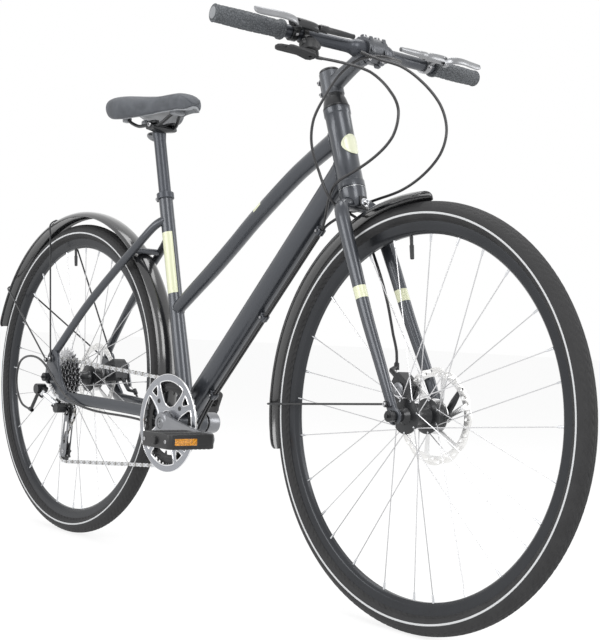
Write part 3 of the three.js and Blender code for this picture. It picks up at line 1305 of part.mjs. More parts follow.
function stemSolid() {
  const [low, high] = [stem.clampUp - stem.clampHeight / 2, stem.clampUp + stem.clampHeight / 2];
  const clampTube = rod(at(0, 0, low), at(0, 0, high + stem.capHeight), stem.clampRadius, 14);
  const barrel = tube([
    { at: at(0, 0, stem.barrelFrom), wide: stem.barrelRoot, deep: stem.barrelRoot },
    { at: at(stem.reach * 0.72, 0, stem.barrelUp), wide: stem.barrelEnd, deep: stem.barrelEnd },
    { at: at(stem.reach * 0.9, 0, stem.barUp), wide: stem.barrelEnd * 1.1, deep: stem.barrelEnd },
  ], 12);
  const grip = disc(barCentre.x, barCentre.z, stem.grip, -stem.gripHalf, stem.gripHalf, 14);
  const front = barHalfSpace(stem.grip - stem.split);
  const bore = rod(at(0, 0, low - overrun), at(0, 0, steerer.top + gap), steerer.radius + gap, 12);
  return cut(join(clampTube, barrel, grip), front, barBore(), bore);
}

const barBore = () => disc(barCentre.x, barCentre.z, bar.middle + gap, -bar.half, bar.half, 14);

function faceplateSolid() {
  const grip = disc(barCentre.x, barCentre.z, stem.grip, -stem.gripHalf, stem.gripHalf, 14);
  const back = barHalfSpace(stem.split - stem.grip);
  return cut(grip, back, barBore());
}

const barShare = { middle: 0, fade: 0.11, bend: 0.44, end: 1 };
const barPoint = (y, share) => at(barCentre.x - bar.back * share, y, barCentre.z + bar.rise * share);

function barSolid() {
  const half = [
    [0, barShare.middle, bar.middle], [bar.middleHalf, barShare.middle, bar.middle],
    [bar.middleHalf + bar.middleFade, barShare.fade, bar.radius], [bar.bend, barShare.bend, bar.radius],
    [bar.half, barShare.end, bar.radius],
  ];
  const stations = [
    ...half.slice(1).reverse().map(([y, share, r]) => ({ at: barPoint(-y, share), wide: r, deep: r })),
    ...half.slice(1).map(([y, share, r]) => ({ at: barPoint(y, share), wide: r, deep: r })),
  ];
  return tube(stations, 14, at(1, 0, 0));
}

// Axes at each hand: ahead of the bar, outward along it from the middle, and up.
function handMatrix(side) {
  const from = barPoint(side * bar.bend, barShare.bend);
  const out = barPoint(side * bar.half, barShare.end).sub(from).normalize();
  const ahead = at(1, 0, 0).addScaledVector(out, -out.x).normalize();
  const up = side > 0 ? ahead.clone().cross(out) : out.clone().cross(ahead);
  const origin = from.addScaledVector(out, -bar.bend / Math.abs(out.y));
  return new THREE.Matrix4().makeBasis(ahead, out, up).setPosition(origin);
}
const onHand = (manifold, side) => solid(geometryOf(manifold).applyMatrix4(handMatrix(side)));
const barRun = barPoint(bar.half, barShare.end).sub(barPoint(bar.bend, barShare.bend));
const barEnd = (bar.half / barRun.y) * barRun.length();

const barBoreRadius = (bar.radius + gap) / Math.cos(Math.PI / 12);

function gripSolid() {
  const end = barEnd + gap;
  const start = barEnd - grip.length;
  const bore = barBoreRadius;
  const profile = [
    [0, end + grip.capLength], [grip.lip * 0.9, end + grip.capLength], [grip.lip, end], [grip.lip,
      end - grip.lipLength],
    [grip.radius, end - 2 * grip.lipLength], [grip.waist, mix(start, end, 0.7)], [grip.radius, mix(start,
      end, 0.4)],
    [grip.waist, start + 3 * grip.lipLength], [grip.lip, start + grip.lipLength], [grip.lip, start], [bore,
      start],
    [bore, end], [0, end],
  ];
  return turned(profile, 12);
}

function bandSolid(centre, width) {
  return rod(at(0, centre - width / 2, 0), at(0, centre + width / 2, 0), bar.radius + gap + lever.bandWall,
    12);
}
const bandBore = () => rod(at(0, bar.bend, 0), at(0, barEnd, 0), barBoreRadius, 12);

function leverBodySolid() {
  const { bodyAhead: ahead, bodyDeep: deep, bodyTall: tall, bodyUp: up, bodyFrom, bodyTo } = lever;
  const { pivotAt, pivotAhead, pivotDown, bootTo } = lever;
  const body = tube([
    { at: at(ahead, bodyFrom, up), wide: deep * 0.7, deep: tall * 0.75 },
    { at: at(ahead, bodyFrom + lever.bodyRound, up), wide: deep, deep: tall },
    { at: at(ahead, bodyTo - lever.bodyRound, up), wide: deep, deep: tall },
    { at: at(ahead, bodyTo, up), wide: deep * 0.8, deep: tall * 0.8 },
  ], 8, at(1, 0, 0));
  const bridge = block(at(ahead, lever.bandWidth, tall), at(ahead * lever.bridgeShare, lever.bandAt, 0));
  const boot = rod(at(ahead, bodyFrom + overrun, up), at(ahead, bootTo, up), lever.boot, 8, lever.bootEnd);
  const pocket = block(
    at(3 * deep, bodyTo - pivotAt + 2 * lever.pivotRadius, lever.bladeTall + 2 * gap),
    at(pivotAhead + deep / 2, (bodyTo + pivotAt) / 2, pivotDown),
  );
  const sheath = rod(at(ahead, bootTo - overrun, up), at(ahead, bootTo + lever.sheathDepth, up), cable.bore,
    8);
  const pin = rod(at(pivotAhead, pivotAt, -tall), at(pivotAhead, pivotAt, tall * 0.6), lever.pin, 8);
  const band = bandSolid(lever.bandAt, lever.bandWidth);
  return join(cut(join(body, bridge, band, boot), pocket, bandBore(), sheath), pin);
}

function brakeLeverSolid() {
  const { pivotAt, pivotAhead, pivotDown, bladeTall, bladeDeep } = lever;
  const half = bladeTall / 2;
  const along = (reach, radius, sides) => (
    rod(at(pivotAhead, pivotAt, pivotDown - reach), at(pivotAhead, pivotAt, pivotDown + reach), radius, sides)
  );
  const hub = along(half, lever.pivotRadius, 12);
  const blade = tube(lever.blade.map(([ahead, out, share]) => (
    { at: at(ahead, out, pivotDown), wide: bladeDeep * share, deep: half * share }
  )), 8, at(1, 0, 0));
  return cut(join(hub, blade), along(bladeTall, lever.pin + gap, 8));
}

function shifterSolid() {
  const { at: place, ahead, down, radius, tall, band } = shifter;
  const pod = rod(at(ahead, place, -down - tall / 2), at(ahead, place, -down + tall / 2), radius, 14);
  const clampBand = bandSolid(place, band);
  const neck = block(at(radius, band, down), at(ahead / 2, place, -down / 2));
  const bottom = -down - tall / 2;
  const pinEnd = bottom - 2 * shifter.paddleThick - 4 * gap;
  const pin = rod(at(ahead, place, bottom), at(ahead, place, pinEnd - overrun), shifter.pin, 8);
  const pinHead = rod(at(ahead, place, pinEnd), at(ahead, place, pinEnd - overrun), 2 * shifter.pin, 10);
  const barrelEnd = place - radius - shifter.barrelLength;
  const barrel = rod(at(ahead, place, -shifter.barrelDown), at(ahead, barrelEnd, -shifter.barrelDown),
    shifter.barrel, 6);
  const sheath = rod(
    at(ahead, barrelEnd - overrun, -shifter.barrelDown),
    at(ahead, barrelEnd + shifter.barrelLength / 2, -shifter.barrelDown), cable.bore, 8,
  );
  return cut(join(pod, clampBand, neck, pin, pinHead, barrel), bandBore(), sheath);
}

function paddleSolid(level, reach, back) {
  const { at: place, ahead, down, tall, paddleHalf, paddleThick } = shifter;
  const high = -down - tall / 2 - gap - level * (paddleThick + gap);
  const low = high - paddleThick;
  const outline = capsule([ahead, place], shifter.paddleRoot, [ahead - back, place + reach], paddleHalf);
  const flat = plate(outline, low, high);
  const geometry = geometryOf(flat);
  geometry.applyMatrix4(new THREE.Matrix4().makeBasis(at(1, 0, 0), at(0, 0, 1), at(0, 1, 0)));
  const bore = rod(at(ahead, place, low - overrun), at(ahead, place, high + overrun), shifter.pin + gap, 8);
  return cut(solid(geometry), bore);
}

function addSteering() {
  const pieces = [
    addPiece('fork', 'graphite', forkSolid()),
    addPiece('headset_cover', 'black', headsetCoverSolid()),
    addPiece('stem', 'black', stemSolid()),
    addPiece('stem_faceplate', 'black', faceplateSolid()),
    addPiece('handlebar', 'black', barSolid()),
  ];
  for (const [name, side] of [['right', -1], ['left', 1]]) {
    pieces.push(addPiece(`${name}_grip`, 'gripRubber', onHand(gripSolid(), side)));
    pieces.push(addPiece(`${name}_lever_body`, 'black', onHand(leverBodySolid(), side)));
    pieces.push(addPiece(`${name}_brake_lever`, 'silver', onHand(brakeLeverSolid(), side)));
  }
  pieces.push(addPiece('shifter_body', 'black', onHand(shifterSolid(), -1)));
  pieces.push(addPiece('shift_lever', 'black', onHand(paddleSolid(0, shifter.thumb, shifter.thumbBack), -1)));
  pieces.push(addPiece('release_lever', 'black', onHand(paddleSolid(1, shifter.release,
    shifter.releaseBack), -1)));
  steering.add(...pieces);
  bikeGroup.add(steering);
}

// Seat

function seatpostSolid() {
  const post = rod(onSeatTube(seat.postBottom), onSeatTube(seat.postTop), seat.post, 12);
  const { clampX, clampZ } = saddle;
  const cradle = tube([-seat.cradleHalf, seat.cradleHalf].map((y) => (
    { at: at(clampX, y, clampZ - seat.cradleBelow), wide: seat.cradleLong, deep: seat.cradleTall }
  )), 10, at(1, 0, 0));
  const bores = [-1, 1].map((side) => {
    const [from, to] = [saddle.rail[3], saddle.rail[4]].map(([x, y, z]) => at(x, side * y, z));
    return rod(from, to, saddle.railRadius + 2 * gap, 6);
  });
  return cut(join(post, cradle), ...bores);
}

function seatClampSolid() {
  const [low, high] = [seat.tubeTop - seat.clampHeight, seat.tubeTop];
  const collar = rod(onSeatTube(low), onSeatTube(high), seat.clampOuter, 12);
  const behind = at(-seat.clampOuter, 0, -seat.clampOuter * Math.cos(rad(bike.seatAngle)));
  const earAt = onSeatTube((low + high) / 2).add(behind);
  const ear = block(at(seat.clampEar, seat.clampEar, seat.earHeight), earAt, bike.seatAngle - 90);
  const bore = rod(onSeatTube(low - overrun), onSeatTube(high + overrun), seat.tubeRadius + gap, 12);
  return cut(join(collar, ear), bore);
}

function railSolid(play = 0) {
  const left = saddle.rail.map(([x, y, z]) => at(x, y, z));
  return wire([...left, ...left.map(mirrored).reverse()], saddle.railRadius + play, 6);
}

// The shell with the three sockets that its rails are pushed into.
function shellSolid() {
  const sockets = saddle.sockets.map(([x, y, z], i) => (
    block(at(saddle.socketLong, saddle.socketWide[i], saddle.socketTall), at(x, y, z))
  ));
  return cut(join(loft(saddleRings(shellShape, saddle.shellDrop)), ...sockets), railSolid(gap));
}

function saddleRings(shape, drop) {
  return saddleStations.map(([x, half, top, edge]) => {
    const side = shape.map(([share, height, lower]) => at(x, half * share, mix(edge, top,
      height) - drop - lower));
    return [...side, ...side.map(mirrored).reverse()];
  });
}

function addSeat() {
  addPiece('seatpost', 'black', seatpostSolid());
  addPiece('seat_clamp', 'black', seatClampSolid());
  addPiece('saddle_rails', 'steel', railSolid());
  addPiece('saddle_shell', 'grey', shellSolid());
  addPiece('saddle_cover', 'cover', loft(saddleRings(coverShape, 0)));
}

// The whole bicycle

addPiece('frame', 'graphite', frameSolid());
addPiece('bottom_bracket', 'steel', bottomBracketSolid()).position.copy(bracketAt);
const step = (fender.bridgeTurns[1] - fender.bridgeTurns[0]) / fender.bridgeSteps;
const [firstTurn] = fender.bridgeTurns;
const rearTurns = [
  firstTurn - fender.foreTurn, ...steps(firstTurn, firstTurn + fender.rearSteps * step, fender.rearSteps),
];
addPiece('rear_fender', 'gloss', fenderSolid(rearAxle, fender.rearCrown, rearTurns));
const eyeletFace = plateFace + dropout.eyeletOut;
addPiece('rear_fender_stay_upper', 'black', fenderStaySolid(
  rearAxle, fender.rearCrown, fenderStay.upperTurn, fenderStay.eyelets[0], eyeletFace,
));
addPiece('rear_fender_stay_lower', 'black', fenderStaySolid(
  rearAxle, fender.rearCrown, fenderStay.lowerTurn, fenderStay.eyelets[1], eyeletFace,
));
addPiece('rear_caliper', 'black', caliperSolid(
  rearAxle, caliper.rearTurn, rearHub, dropout.inner - gap, plateFace, rearBrakeRoute, caliper.rearFoot,
  caliper.rearElbow,
));
addPiece('rear_caliper_arm', 'steel', caliperArmSolid(rearAxle, caliper.rearTurn, caliper.rearArmEnd,
  plateFace));
addPiece('rear_brake_cable', 'black', cableSolid(rearBrakeRoute, armEndAt(caliper.rearArmEnd, plateFace)));
addPiece('shift_cable', 'black', cableSolid(shiftRoute));
addWheel('front', frontHub, frontHubSolid(), frontAxle);
addWheel('rear', rearHub, rearHubSolid(), rearAxle);
addCrankset();
addDrive();
addSteering();
const frontPlate = forkEnd.inner + forkEnd.thickness;
const forkEye = fenderStay.forkEyelet;
const eyeWorld = steer(forkEye[1], forkEye[0]);
addPiece('front_fender', 'gloss', fenderSolid(
  frontAxle, fender.frontCrown, steps(fender.frontFrom, fender.frontTo, fender.frontSteps),
));
addPiece('front_fender_stay', 'black', fenderStaySolid(
  frontAxle, fender.frontCrown, fenderStay.frontTurn, [eyeWorld.x, eyeWorld.z],
    frontPlate + forkEnd.eyeletOut,
));
addPiece('front_caliper', 'black', caliperSolid(
  frontAxle, caliper.frontTurn, frontHub, forkEnd.inner - gap, frontPlate, frontBrakeRoute, caliper.frontFoot,
  caliper.frontElbow,
));
addPiece('front_caliper_arm', 'steel', caliperArmSolid(
  frontAxle, caliper.frontTurn, caliper.frontArmEnd, frontPlate,
));
addPiece('front_brake_cable', 'black', cableSolid(frontBrakeRoute, armEndAt(caliper.frontArmEnd,
  frontPlate)));
addSeat();

export default bikeGroup;
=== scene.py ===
import math
from math import radians

import bmesh
import bpy
from mathutils import Matrix, Vector


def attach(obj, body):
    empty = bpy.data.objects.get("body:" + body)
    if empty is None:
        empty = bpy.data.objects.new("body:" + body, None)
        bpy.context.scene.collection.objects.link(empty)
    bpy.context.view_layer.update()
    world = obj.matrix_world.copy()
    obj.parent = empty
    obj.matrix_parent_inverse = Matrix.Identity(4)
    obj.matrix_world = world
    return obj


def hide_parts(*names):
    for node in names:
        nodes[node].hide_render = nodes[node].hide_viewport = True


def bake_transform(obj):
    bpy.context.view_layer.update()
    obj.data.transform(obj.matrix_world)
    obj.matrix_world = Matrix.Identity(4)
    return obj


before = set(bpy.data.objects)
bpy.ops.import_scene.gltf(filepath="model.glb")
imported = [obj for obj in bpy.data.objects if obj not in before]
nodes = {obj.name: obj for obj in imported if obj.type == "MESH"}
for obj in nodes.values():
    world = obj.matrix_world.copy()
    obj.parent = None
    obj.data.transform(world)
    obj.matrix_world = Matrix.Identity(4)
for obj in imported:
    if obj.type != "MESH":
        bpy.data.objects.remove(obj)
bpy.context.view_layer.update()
toMetres = 0.001
wheel = {"height": 0.348, "reach": 0.542}  # metres: the axles' height, and how far they lie from the middle


# A value on its way through a material; arithmetic on it adds Math nodes.
class Flow:
    def __init__(self, look, socket):
        self.look = look
        self.socket = socket

    def math(self, operation, other=0.0):
        return self.look.node("ShaderNodeMath", 0, {0: self, 1: other}, operation=operation)

    def __add__(self, other):
        return self.math("ADD", other)

    def __sub__(self, other):
        return self.math("SUBTRACT", other)

    def __rsub__(self, other):
        return (self * -1.0).math("ADD", other)

    def __mul__(self, other):
        return self.math("MULTIPLY", other)

    __radd__ = __add__
    __rmul__ = __mul__

    def __gt__(self, other):
        return self.math("GREATER_THAN", other)

    def __lt__(self, other):
        return self.math("LESS_THAN", other)

    def __abs__(self):
        return self.math("ABSOLUTE")


class Look:
    def __init__(self, name):
        self.material = bpy.data.materials.new(name)
        self.material.use_nodes = True
        self.tree = self.material.node_tree
        self.shader = self.tree.nodes["Principled BSDF"]
        self.place = self.node("ShaderNodeTexCoord", "Object")

    def feed(self, socket, value):
        if isinstance(value, Flow):
            self.tree.links.new(value.socket, socket)
        else:
            socket.default_value = value

    def node(self, kind, output=0, inputs=None, **settings):
        made = self.tree.nodes.new(kind)
        for key, value in settings.items():
            setattr(made, key, value)
        for key, value in (inputs or {}).items():
            self.feed(made.inputs[key], value)
        return Flow(self, made.outputs[output])

    def noise(self, scale, detail=3.0, stretch=None):
        place = self.place
        if stretch:
            place = self.node("ShaderNodeMapping", 0, {"Vector": place, "Scale": stretch})
        return self.node("ShaderNodeTexNoise", 0, {"Vector": place, "Scale": scale, "Detail": detail})

    def cells(self, scale, feature):
        return self.node("ShaderNodeTexVoronoi", 0, {"Vector": self.place, "Scale": scale}, feature=feature)

    def axis(self, name):
        return self.node("ShaderNodeSeparateXYZ", name, {"Vector": self.place})

    def fromAxle(self, centreX):
        across, up = self.axis("X") - centreX, self.axis("Z") - wheel["height"]
        return (across * across + up * up).math("SQRT")

    def along(self, origin, direction):
        return sum((self.axis(name) - start) * share for name, start, share in zip("XZ", origin, direction))

    def fade(self, value, low, high, start=0.0, end=1.0):
        limits = {"From Min": low, "From Max": high, "To Min": start, "To Max": end}
        return self.node("ShaderNodeMapRange", 0, {"Value": value, **limits})

    def blend(self, factor, first, second):
        return self.node("ShaderNodeMix", 2, {0: factor, 6: first, 7: second}, data_type="RGBA")

    def bump(self, height, distance):
        relief = self.node("ShaderNodeBump", 0, {"Height": height, "Distance": distance, "Strength": 1.0})
        self.feed(self.shader.inputs["Normal"], relief)

    def finish(self, **inputs):
        for key, value in inputs.items():
            self.feed(self.shader.inputs[key.replace("_", " ")], value)
        return self.material


def rgb(red, green, blue):
    return (red, green, blue, 1.0)


def shaded(colour, share):
    return tuple(channel * share for channel in colour[:3]) + (1.0,)


def plainLook(name, colour, rough, metallic=0.0, coat=0.0, vary=0.12, grain=900.0, relief=0.00002, stretch=None):
    look = Look(name)
    patches = look.noise(9.0, 4.0)
    fine = look.noise(grain, 2.0, stretch)
    base = look.blend(look.fade(patches, 0.3, 0.7), shaded(colour, 1 - vary), shaded(colour, 1 + vary))
    look.bump(fine, relief)
    look.finish(Base_Color=base, Roughness=look.fade(patches + fine, 0.7, 1.3, rough * 0.85, rough * 1.15))
    return look.finish(Metallic=metallic, Coat_Weight=coat, Coat_Roughness=0.12)


accentColour = rgb(0.70, 0.72, 0.50)
paintColour = rgb(0.050, 0.055, 0.065)


def framePaint(name, mask=None):
    look = Look(name)
    patches = look.noise(6.0, 4.0)
    flakes = look.noise(5200.0, 0.0)
    base = look.blend(look.fade(flakes, 0.35, 0.75), shaded(paintColour, 0.86), shaded(paintColour, 1.2))
    metallic = 0.55
    if mask is not None:
        chosen = mask(look)
        base = look.blend(chosen, base, accentColour)
        metallic = look.fade(chosen, 0.0, 1.0, 0.55, 0.0)
    look.bump(look.noise(260.0, 2.0), 0.00002)
    look.finish(Base_Color=base, Roughness=look.fade(patches, 0.3, 0.7, 0.30, 0.37), Metallic=metallic)
    return look.finish(Coat_Weight=0.55, Coat_Roughness=0.16)


def tyreLook(name, centreX):
    look = Look(name)
    radius = look.fromAxle(centreX)
    line = (radius > 0.3262) * (radius < 0.3294) * (abs(look.axis("Y")) > 0.014)
    dust = look.noise(38.0, 5.0)
    rubber = look.blend(look.fade(dust, 0.35, 0.75), rgb(0.012, 0.012, 0.013), rgb(0.030, 0.030, 0.031))
    base = look.blend(line, rubber, rgb(0.62, 0.63, 0.64))
    threads = {"Vector": look.place, "Scale": 420.0, "Distortion": 2.0}
    weave = look.node("ShaderNodeTexWave", 0, threads, bands_direction="DIAGONAL")
    look.bump(weave * 0.4 + look.noise(1400.0, 2.0), 0.00009)
    return look.finish(Base_Color=base, Roughness=look.fade(dust, 0.3, 0.7, 0.62, 0.8))


def gripLook(name):
    look = Look(name)
    scales = look.cells(260.0, "DISTANCE_TO_EDGE")
    cells = look.fade(scales, 0.02, 0.14)
    # The grip is one grey rubber; each cell is painted darker towards its edge, which is painted shade in the grooves
    # between the raised scales.
    rubber = look.blend(cells, rgb(0.055, 0.060, 0.066), rgb(0.115, 0.124, 0.135))
    look.bump(cells, 0.0006)
    return look.finish(Base_Color=rubber, Roughness=look.fade(look.noise(30.0), 0.3, 0.7, 0.55, 0.72))


def saddleLook(name):
    look = Look(name)
    pores = look.cells(720.0, "DISTANCE_TO_EDGE")
    folds = look.noise(55.0, 6.0)
    # The cover is painted darker where the fold relief dips: painted shade in the creases.
    hideWithFoldShade = look.blend(look.fade(folds, 0.35, 0.7), rgb(0.062, 0.068, 0.078), rgb(0.105, 0.113, 0.128))
    look.bump(look.fade(pores, 0.0, 0.12) + folds * 0.5, 0.00018)
    return look.finish(Base_Color=hideWithFoldShade, Roughness=look.fade(folds, 0.3, 0.7, 0.46, 0.6))


def rotorLook(name, centreX):
    look = Look(name)
    radius = look.fromAxle(centreX)
    outwards = look.node("ShaderNodeCombineXYZ", 0, {"X": radius})
    rings = look.node("ShaderNodeTexNoise", 0, {"Vector": outwards, "Scale": 2600.0})
    base = look.blend(look.fade(rings, 0.3, 0.7), rgb(0.76, 0.76, 0.75), rgb(0.90, 0.89, 0.87))
    heat = look.fade(radius, 0.062, 0.072)
    base = look.blend(heat, rgb(0.72, 0.72, 0.72), base)
    look.bump(rings, 0.00003)
    return look.finish(Base_Color=base, Roughness=look.fade(rings, 0.2, 0.8, 0.22, 0.42), Metallic=1.0)


def reflectorLook(name, colour):
    look = Look(name)
    prismsAndGlints = look.cells(480.0, "F1")
    # Each prism is painted brighter at its middle and darker towards its rim: painted glints and painted shade on one
    # amber plastic.
    base = look.blend(look.fade(prismsAndGlints, 0.1, 0.6), shaded(colour, 1.25), shaded(colour, 0.55))
    look.bump(prismsAndGlints, 0.0004)
    return look.finish(Base_Color=base, Roughness=0.12, Coat_Weight=1.0, Coat_Roughness=0.04)


# The pale panels, each measured along its tube from a point (x, z) in metres.
def seatAccent(look):
    height = look.along((-0.098, 0.283), (-0.258819, 0.965926))
    side = look.axis("Y")
    return (height > 0.267) * (height < 0.397) * ((side < -0.0024) + (side > 0.0135))


def topAccent(look):
    height = look.along((0.110, 0.700), (0.8, 0.6))
    above = look.along((0.110, 0.700), (-0.6, 0.8))
    return (height > -0.011) * (height < 0.013) * (above > 0.002) * (abs(look.axis("Y")) > 0.004)


def forkAccent(look):
    height = look.along((0.3564975, 0.7220368), (-0.333807, 0.942641))
    return (height > -0.2075) * (height < -0.186)


looks = {
    "frame": framePaint("frame_paint"),
    "seatTube": framePaint("seat_tube_paint", seatAccent),
    "topTube": framePaint("top_tube_paint", topAccent),
    "fork": framePaint("fork_paint", forkAccent),
    "gloss": plainLook("mudguard_gloss", rgb(0.014, 0.0145, 0.016), 0.16, 0.0, 0.9, 0.2, 120.0, 0.00001),
    "black": plainLook("black_metal", rgb(0.020, 0.021, 0.023), 0.36, 0.35, 0.25),
    "stem": plainLook("stem_alloy", rgb(0.095, 0.10, 0.11), 0.34, 0.7, 0.2),
    "post": plainLook("seatpost_anodised", rgb(0.052, 0.057, 0.068), 0.4, 0.5, 0.15),
    "plastic": plainLook("black_plastic", rgb(0.018, 0.0185, 0.020), 0.5, 0.0, 0.0, 0.15, 1500.0, 0.00005),
    "rim": plainLook("rim_metal", rgb(0.030, 0.032, 0.036), 0.3, 0.7, 0.15, 0.1, 1400.0, 0.00001),
    "cable": plainLook("cable_sheath", rgb(0.012, 0.012, 0.014), 0.34, 0.0, 0.3, 0.1, 700.0, 0.00003),
    "silver": plainLook("silver_metal", rgb(0.66, 0.67, 0.69), 0.26, 1.0, 0.0, 0.06, 1600.0, 0.00001, (1, 12, 1)),
    "silverDull": plainLook("lever_alloy", rgb(0.27, 0.275, 0.285), 0.36, 0.8, 0.1, 0.06),
    "spoke": plainLook("spoke_steel", rgb(0.60, 0.60, 0.61), 0.36, 1.0, 0.0, 0.08, 300.0, 0.00001),
    "steel": plainLook("steel", rgb(0.50, 0.50, 0.51), 0.28, 1.0, 0.0, 0.1),
    "chain": plainLook("chain_steel", rgb(0.34, 0.33, 0.31), 0.34, 1.0, 0.0, 0.3, 400.0),
    "grey": plainLook("grey_metal", rgb(0.20, 0.205, 0.215), 0.32, 0.85, 0.1),
    "crank": plainLook("crank_alloy", rgb(0.235, 0.24, 0.255), 0.34, 0.8, 0.2, 0.06),
    "guard": plainLook("guard_alloy", rgb(0.31, 0.32, 0.345), 0.24, 0.85, 0.3, 0.06),
    "edge": plainLook("guard_edge", rgb(0.80, 0.80, 0.81), 0.12, 1.0, 0.0, 0.04),
    "ring": plainLook("ring_black", rgb(0.022, 0.022, 0.023), 0.34, 0.6, 0.1, 0.15),
    "shell": plainLook("shell_plastic", rgb(0.26, 0.27, 0.285), 0.45, 0.0, 0.0, 0.08, 1300.0, 0.00004),
    "pedal": plainLook("pedal_plastic", rgb(0.016, 0.016, 0.017), 0.44, 0.0, 0.05, 0.15, 1300.0, 0.00006),
    "badge": plainLook("badge_enamel", rgb(0.72, 0.74, 0.55), 0.24, 0.0, 0.8, 0.05),
    "grip": gripLook("grip_rubber"),
    "saddle": saddleLook("saddle_cover_grain"),
    "amber": reflectorLook("amber_reflector", rgb(0.90, 0.36, 0.015)),
}
for end, centreX in (("front", wheel["reach"]), ("rear", -wheel["reach"])):
    looks[end + "Tyre"] = tyreLook(end + "_tyre_rubber", centreX)
    looks[end + "Rotor"] = rotorLook(end + "_rotor_steel", centreX)
print("materials made:", len(looks))


def at(x, y, z):
    return Vector((x, y, z))


zero, toFront, toLeft, toTop = at(0, 0, 0), at(1, 0, 0), at(0, 1, 0), at(0, 0, 1)
sides = (-1, 1)  # right, left


def polar(radius, turn, x=0.0, z=0.0):
    return (x + radius * math.cos(radians(turn)), z + radius * math.sin(radians(turn)))


def around(centre, radius, turn, y=0.0):
    x, z = polar(radius, turn, centre.x, centre.z)
    return at(x, y, z)


def circle(radius, count, x=0.0, z=0.0):
    return [polar(radius, 360 * i / count, x, z) for i in range(count)]


def capsule(start, startRadius, end, endRadius, steps=10):
    heading = math.degrees(math.atan2(end[1] - start[1], end[0] - start[0]))
    head = [polar(endRadius, heading - 90 + 180 * i / steps, *end) for i in range(steps + 1)]
    tail = [polar(startRadius, heading + 90 + 180 * i / steps, *start) for i in range(steps + 1)]
    return head + tail


def joined(*solids):
    verts, faces = [], []
    for solidVerts, solidFaces in solids:
        start = len(verts)
        verts += solidVerts
        faces += [[start + i for i in face] for face in solidFaces]
    return verts, faces


def loft(rings, looped=False, capped=True):
    count = len(rings[0])
    verts = [point for ring in rings for point in ring]
    faces = []
    for i in range(len(rings) if looped else len(rings) - 1):
        here, there = i * count, ((i + 1) % len(rings)) * count
        for j in range(count):
            k = (j + 1) % count
            faces.append([here + j, here + k, there + k, there + j])
    if capped and not looped:
        faces.append(list(range(count)))
        faces.append([len(verts) - count + j for j in reversed(range(count))])
    return verts, faces


def between(before, start, end, after, t):
    return (start * 2 + (end - before) * t + (before * 2 - start * 5 + end * 4 - after) * t * t
            + (start * 3 - before - end * 3 + after) * t * t * t) * 0.5


def spline(values, steps):
    ends = [values[0]] + list(values) + [values[-1]]
    made = [between(*ends[i:i + 4], k / steps) for i in range(len(ends) - 3) for k in range(steps)]
    return made + [values[-1]]


# The CAD's curves run through their points by the centripetal rule, which keeps uneven points calm.
def centripetal(points, spacing):
    ends = [points[0] * 2 - points[1]] + list(points) + [points[-1] * 2 - points[-2]]
    made = []
    for i in range(1, len(ends) - 2):
        quad = ends[i - 1:i + 3]
        knots = [0.0]
        for first, second in zip(quad, quad[1:]):
            knots.append(knots[-1] + max((second - first).length, 0.0001) ** 0.5)
        steps = max(1, int((quad[2] - quad[1]).length / spacing))
        for k in range(steps):
            t = knots[1] + (knots[2] - knots[1]) * k / steps
            level = quad
            for depth in (1, 2, 3):
                level = [
                    (level[j] * (knots[j + depth] - t) + level[j + 1] * (t - knots[j])) / (knots[j + depth] - knots[j])
                    for j in range(4 - depth)
                ]
            made.append(level[0])
    return made + [points[-1]]


def axesOf(first, second, third):
    return Matrix((first, second, third)).transposed()


def ringAt(centre, first, second, radius, count):
    turns = [2 * math.pi * j / count for j in range(count)]
    return [centre + (first * math.cos(t) + second * math.sin(t)) * radius for t in turns]


def rounder(share, power):
    return math.copysign(abs(share) ** (2 / power), share)


# Stations are (centre, wide, deep), where wide lies along the side axis. A higher power is squarer.
def tube(stations, side=toLeft, count=32, steps=8, power=2.0):
    centres, wides, deeps = (spline([s[k] for s in stations], steps) for k in range(3))
    rings = []
    for i, (centre, wide, deep) in enumerate(zip(centres, wides, deeps)):
        forward = (centres[min(i + 1, len(centres) - 1)] - centres[max(i - 1, 0)]).normalized()
        deepAxis = forward.cross(side).normalized()
        wideAxis = deepAxis.cross(forward)
        turns = [2 * math.pi * (j + 0.5) / count for j in range(count)]
        rings.append([
            centre + wideAxis * rounder(math.cos(t), power) * wide + deepAxis * rounder(math.sin(t), power) * deep
            for t in turns
        ])
    return loft(rings)


# A sleeve's half section, with its outer edges taken off.
def sleeve(inner, outer, low, high, edge=0.5, rise=0.5):
    return [(inner, low), (outer - edge, low), (outer, low + rise), (outer, high - rise), (outer - edge, high),
            (inner, high)]


# A half section of (radius, height) pairs turned round an axis; looped where it has a bore.
def turned(profile, origin=zero, axis=toLeft, count=48, looped=False):
    axis = axis.normalized()
    first = axis.orthogonal().normalized()
    second = axis.cross(first)
    rings = [ringAt(origin + axis * height, first, second, max(radius, 0.02), count) for radius, height in profile]
    return loft(rings, looped)


def rod(start, end, radius, endRadius=None, count=24, edge=0.5):
    endRadius = radius if endRadius is None else endRadius
    length = (end - start).length
    edge = min(edge, length / 4, radius / 3, endRadius / 3)
    profile = [(radius - edge, 0), (radius, edge), (endRadius, length - edge), (endRadius - edge, length)]
    return turned(profile, start, end - start, count)


def disc(x, z, radius, low, high, count=32, edge=0.5):
    return rod(at(x, low, z), at(x, high, z), radius, None, count, edge)


# A smooth round wire through a few points.
def wire(points, radius, count=12, spacing=6.0, closed=False):
    path = centripetal(points, spacing) if len(points) > 2 else list(points)
    side = (path[1] - path[0]).orthogonal().normalized()
    rings = []
    for i, centre in enumerate(path):
        forward = (path[min(i + 1, len(path) - 1)] - path[max(i - 1, 0)]).normalized()
        side = (side - forward * side.dot(forward)).normalized()
        rings.append(ringAt(centre, side, forward.cross(side), radius, count))
    return loft(rings, closed)


def standing(u, v, w):
    return at(u, w, v)


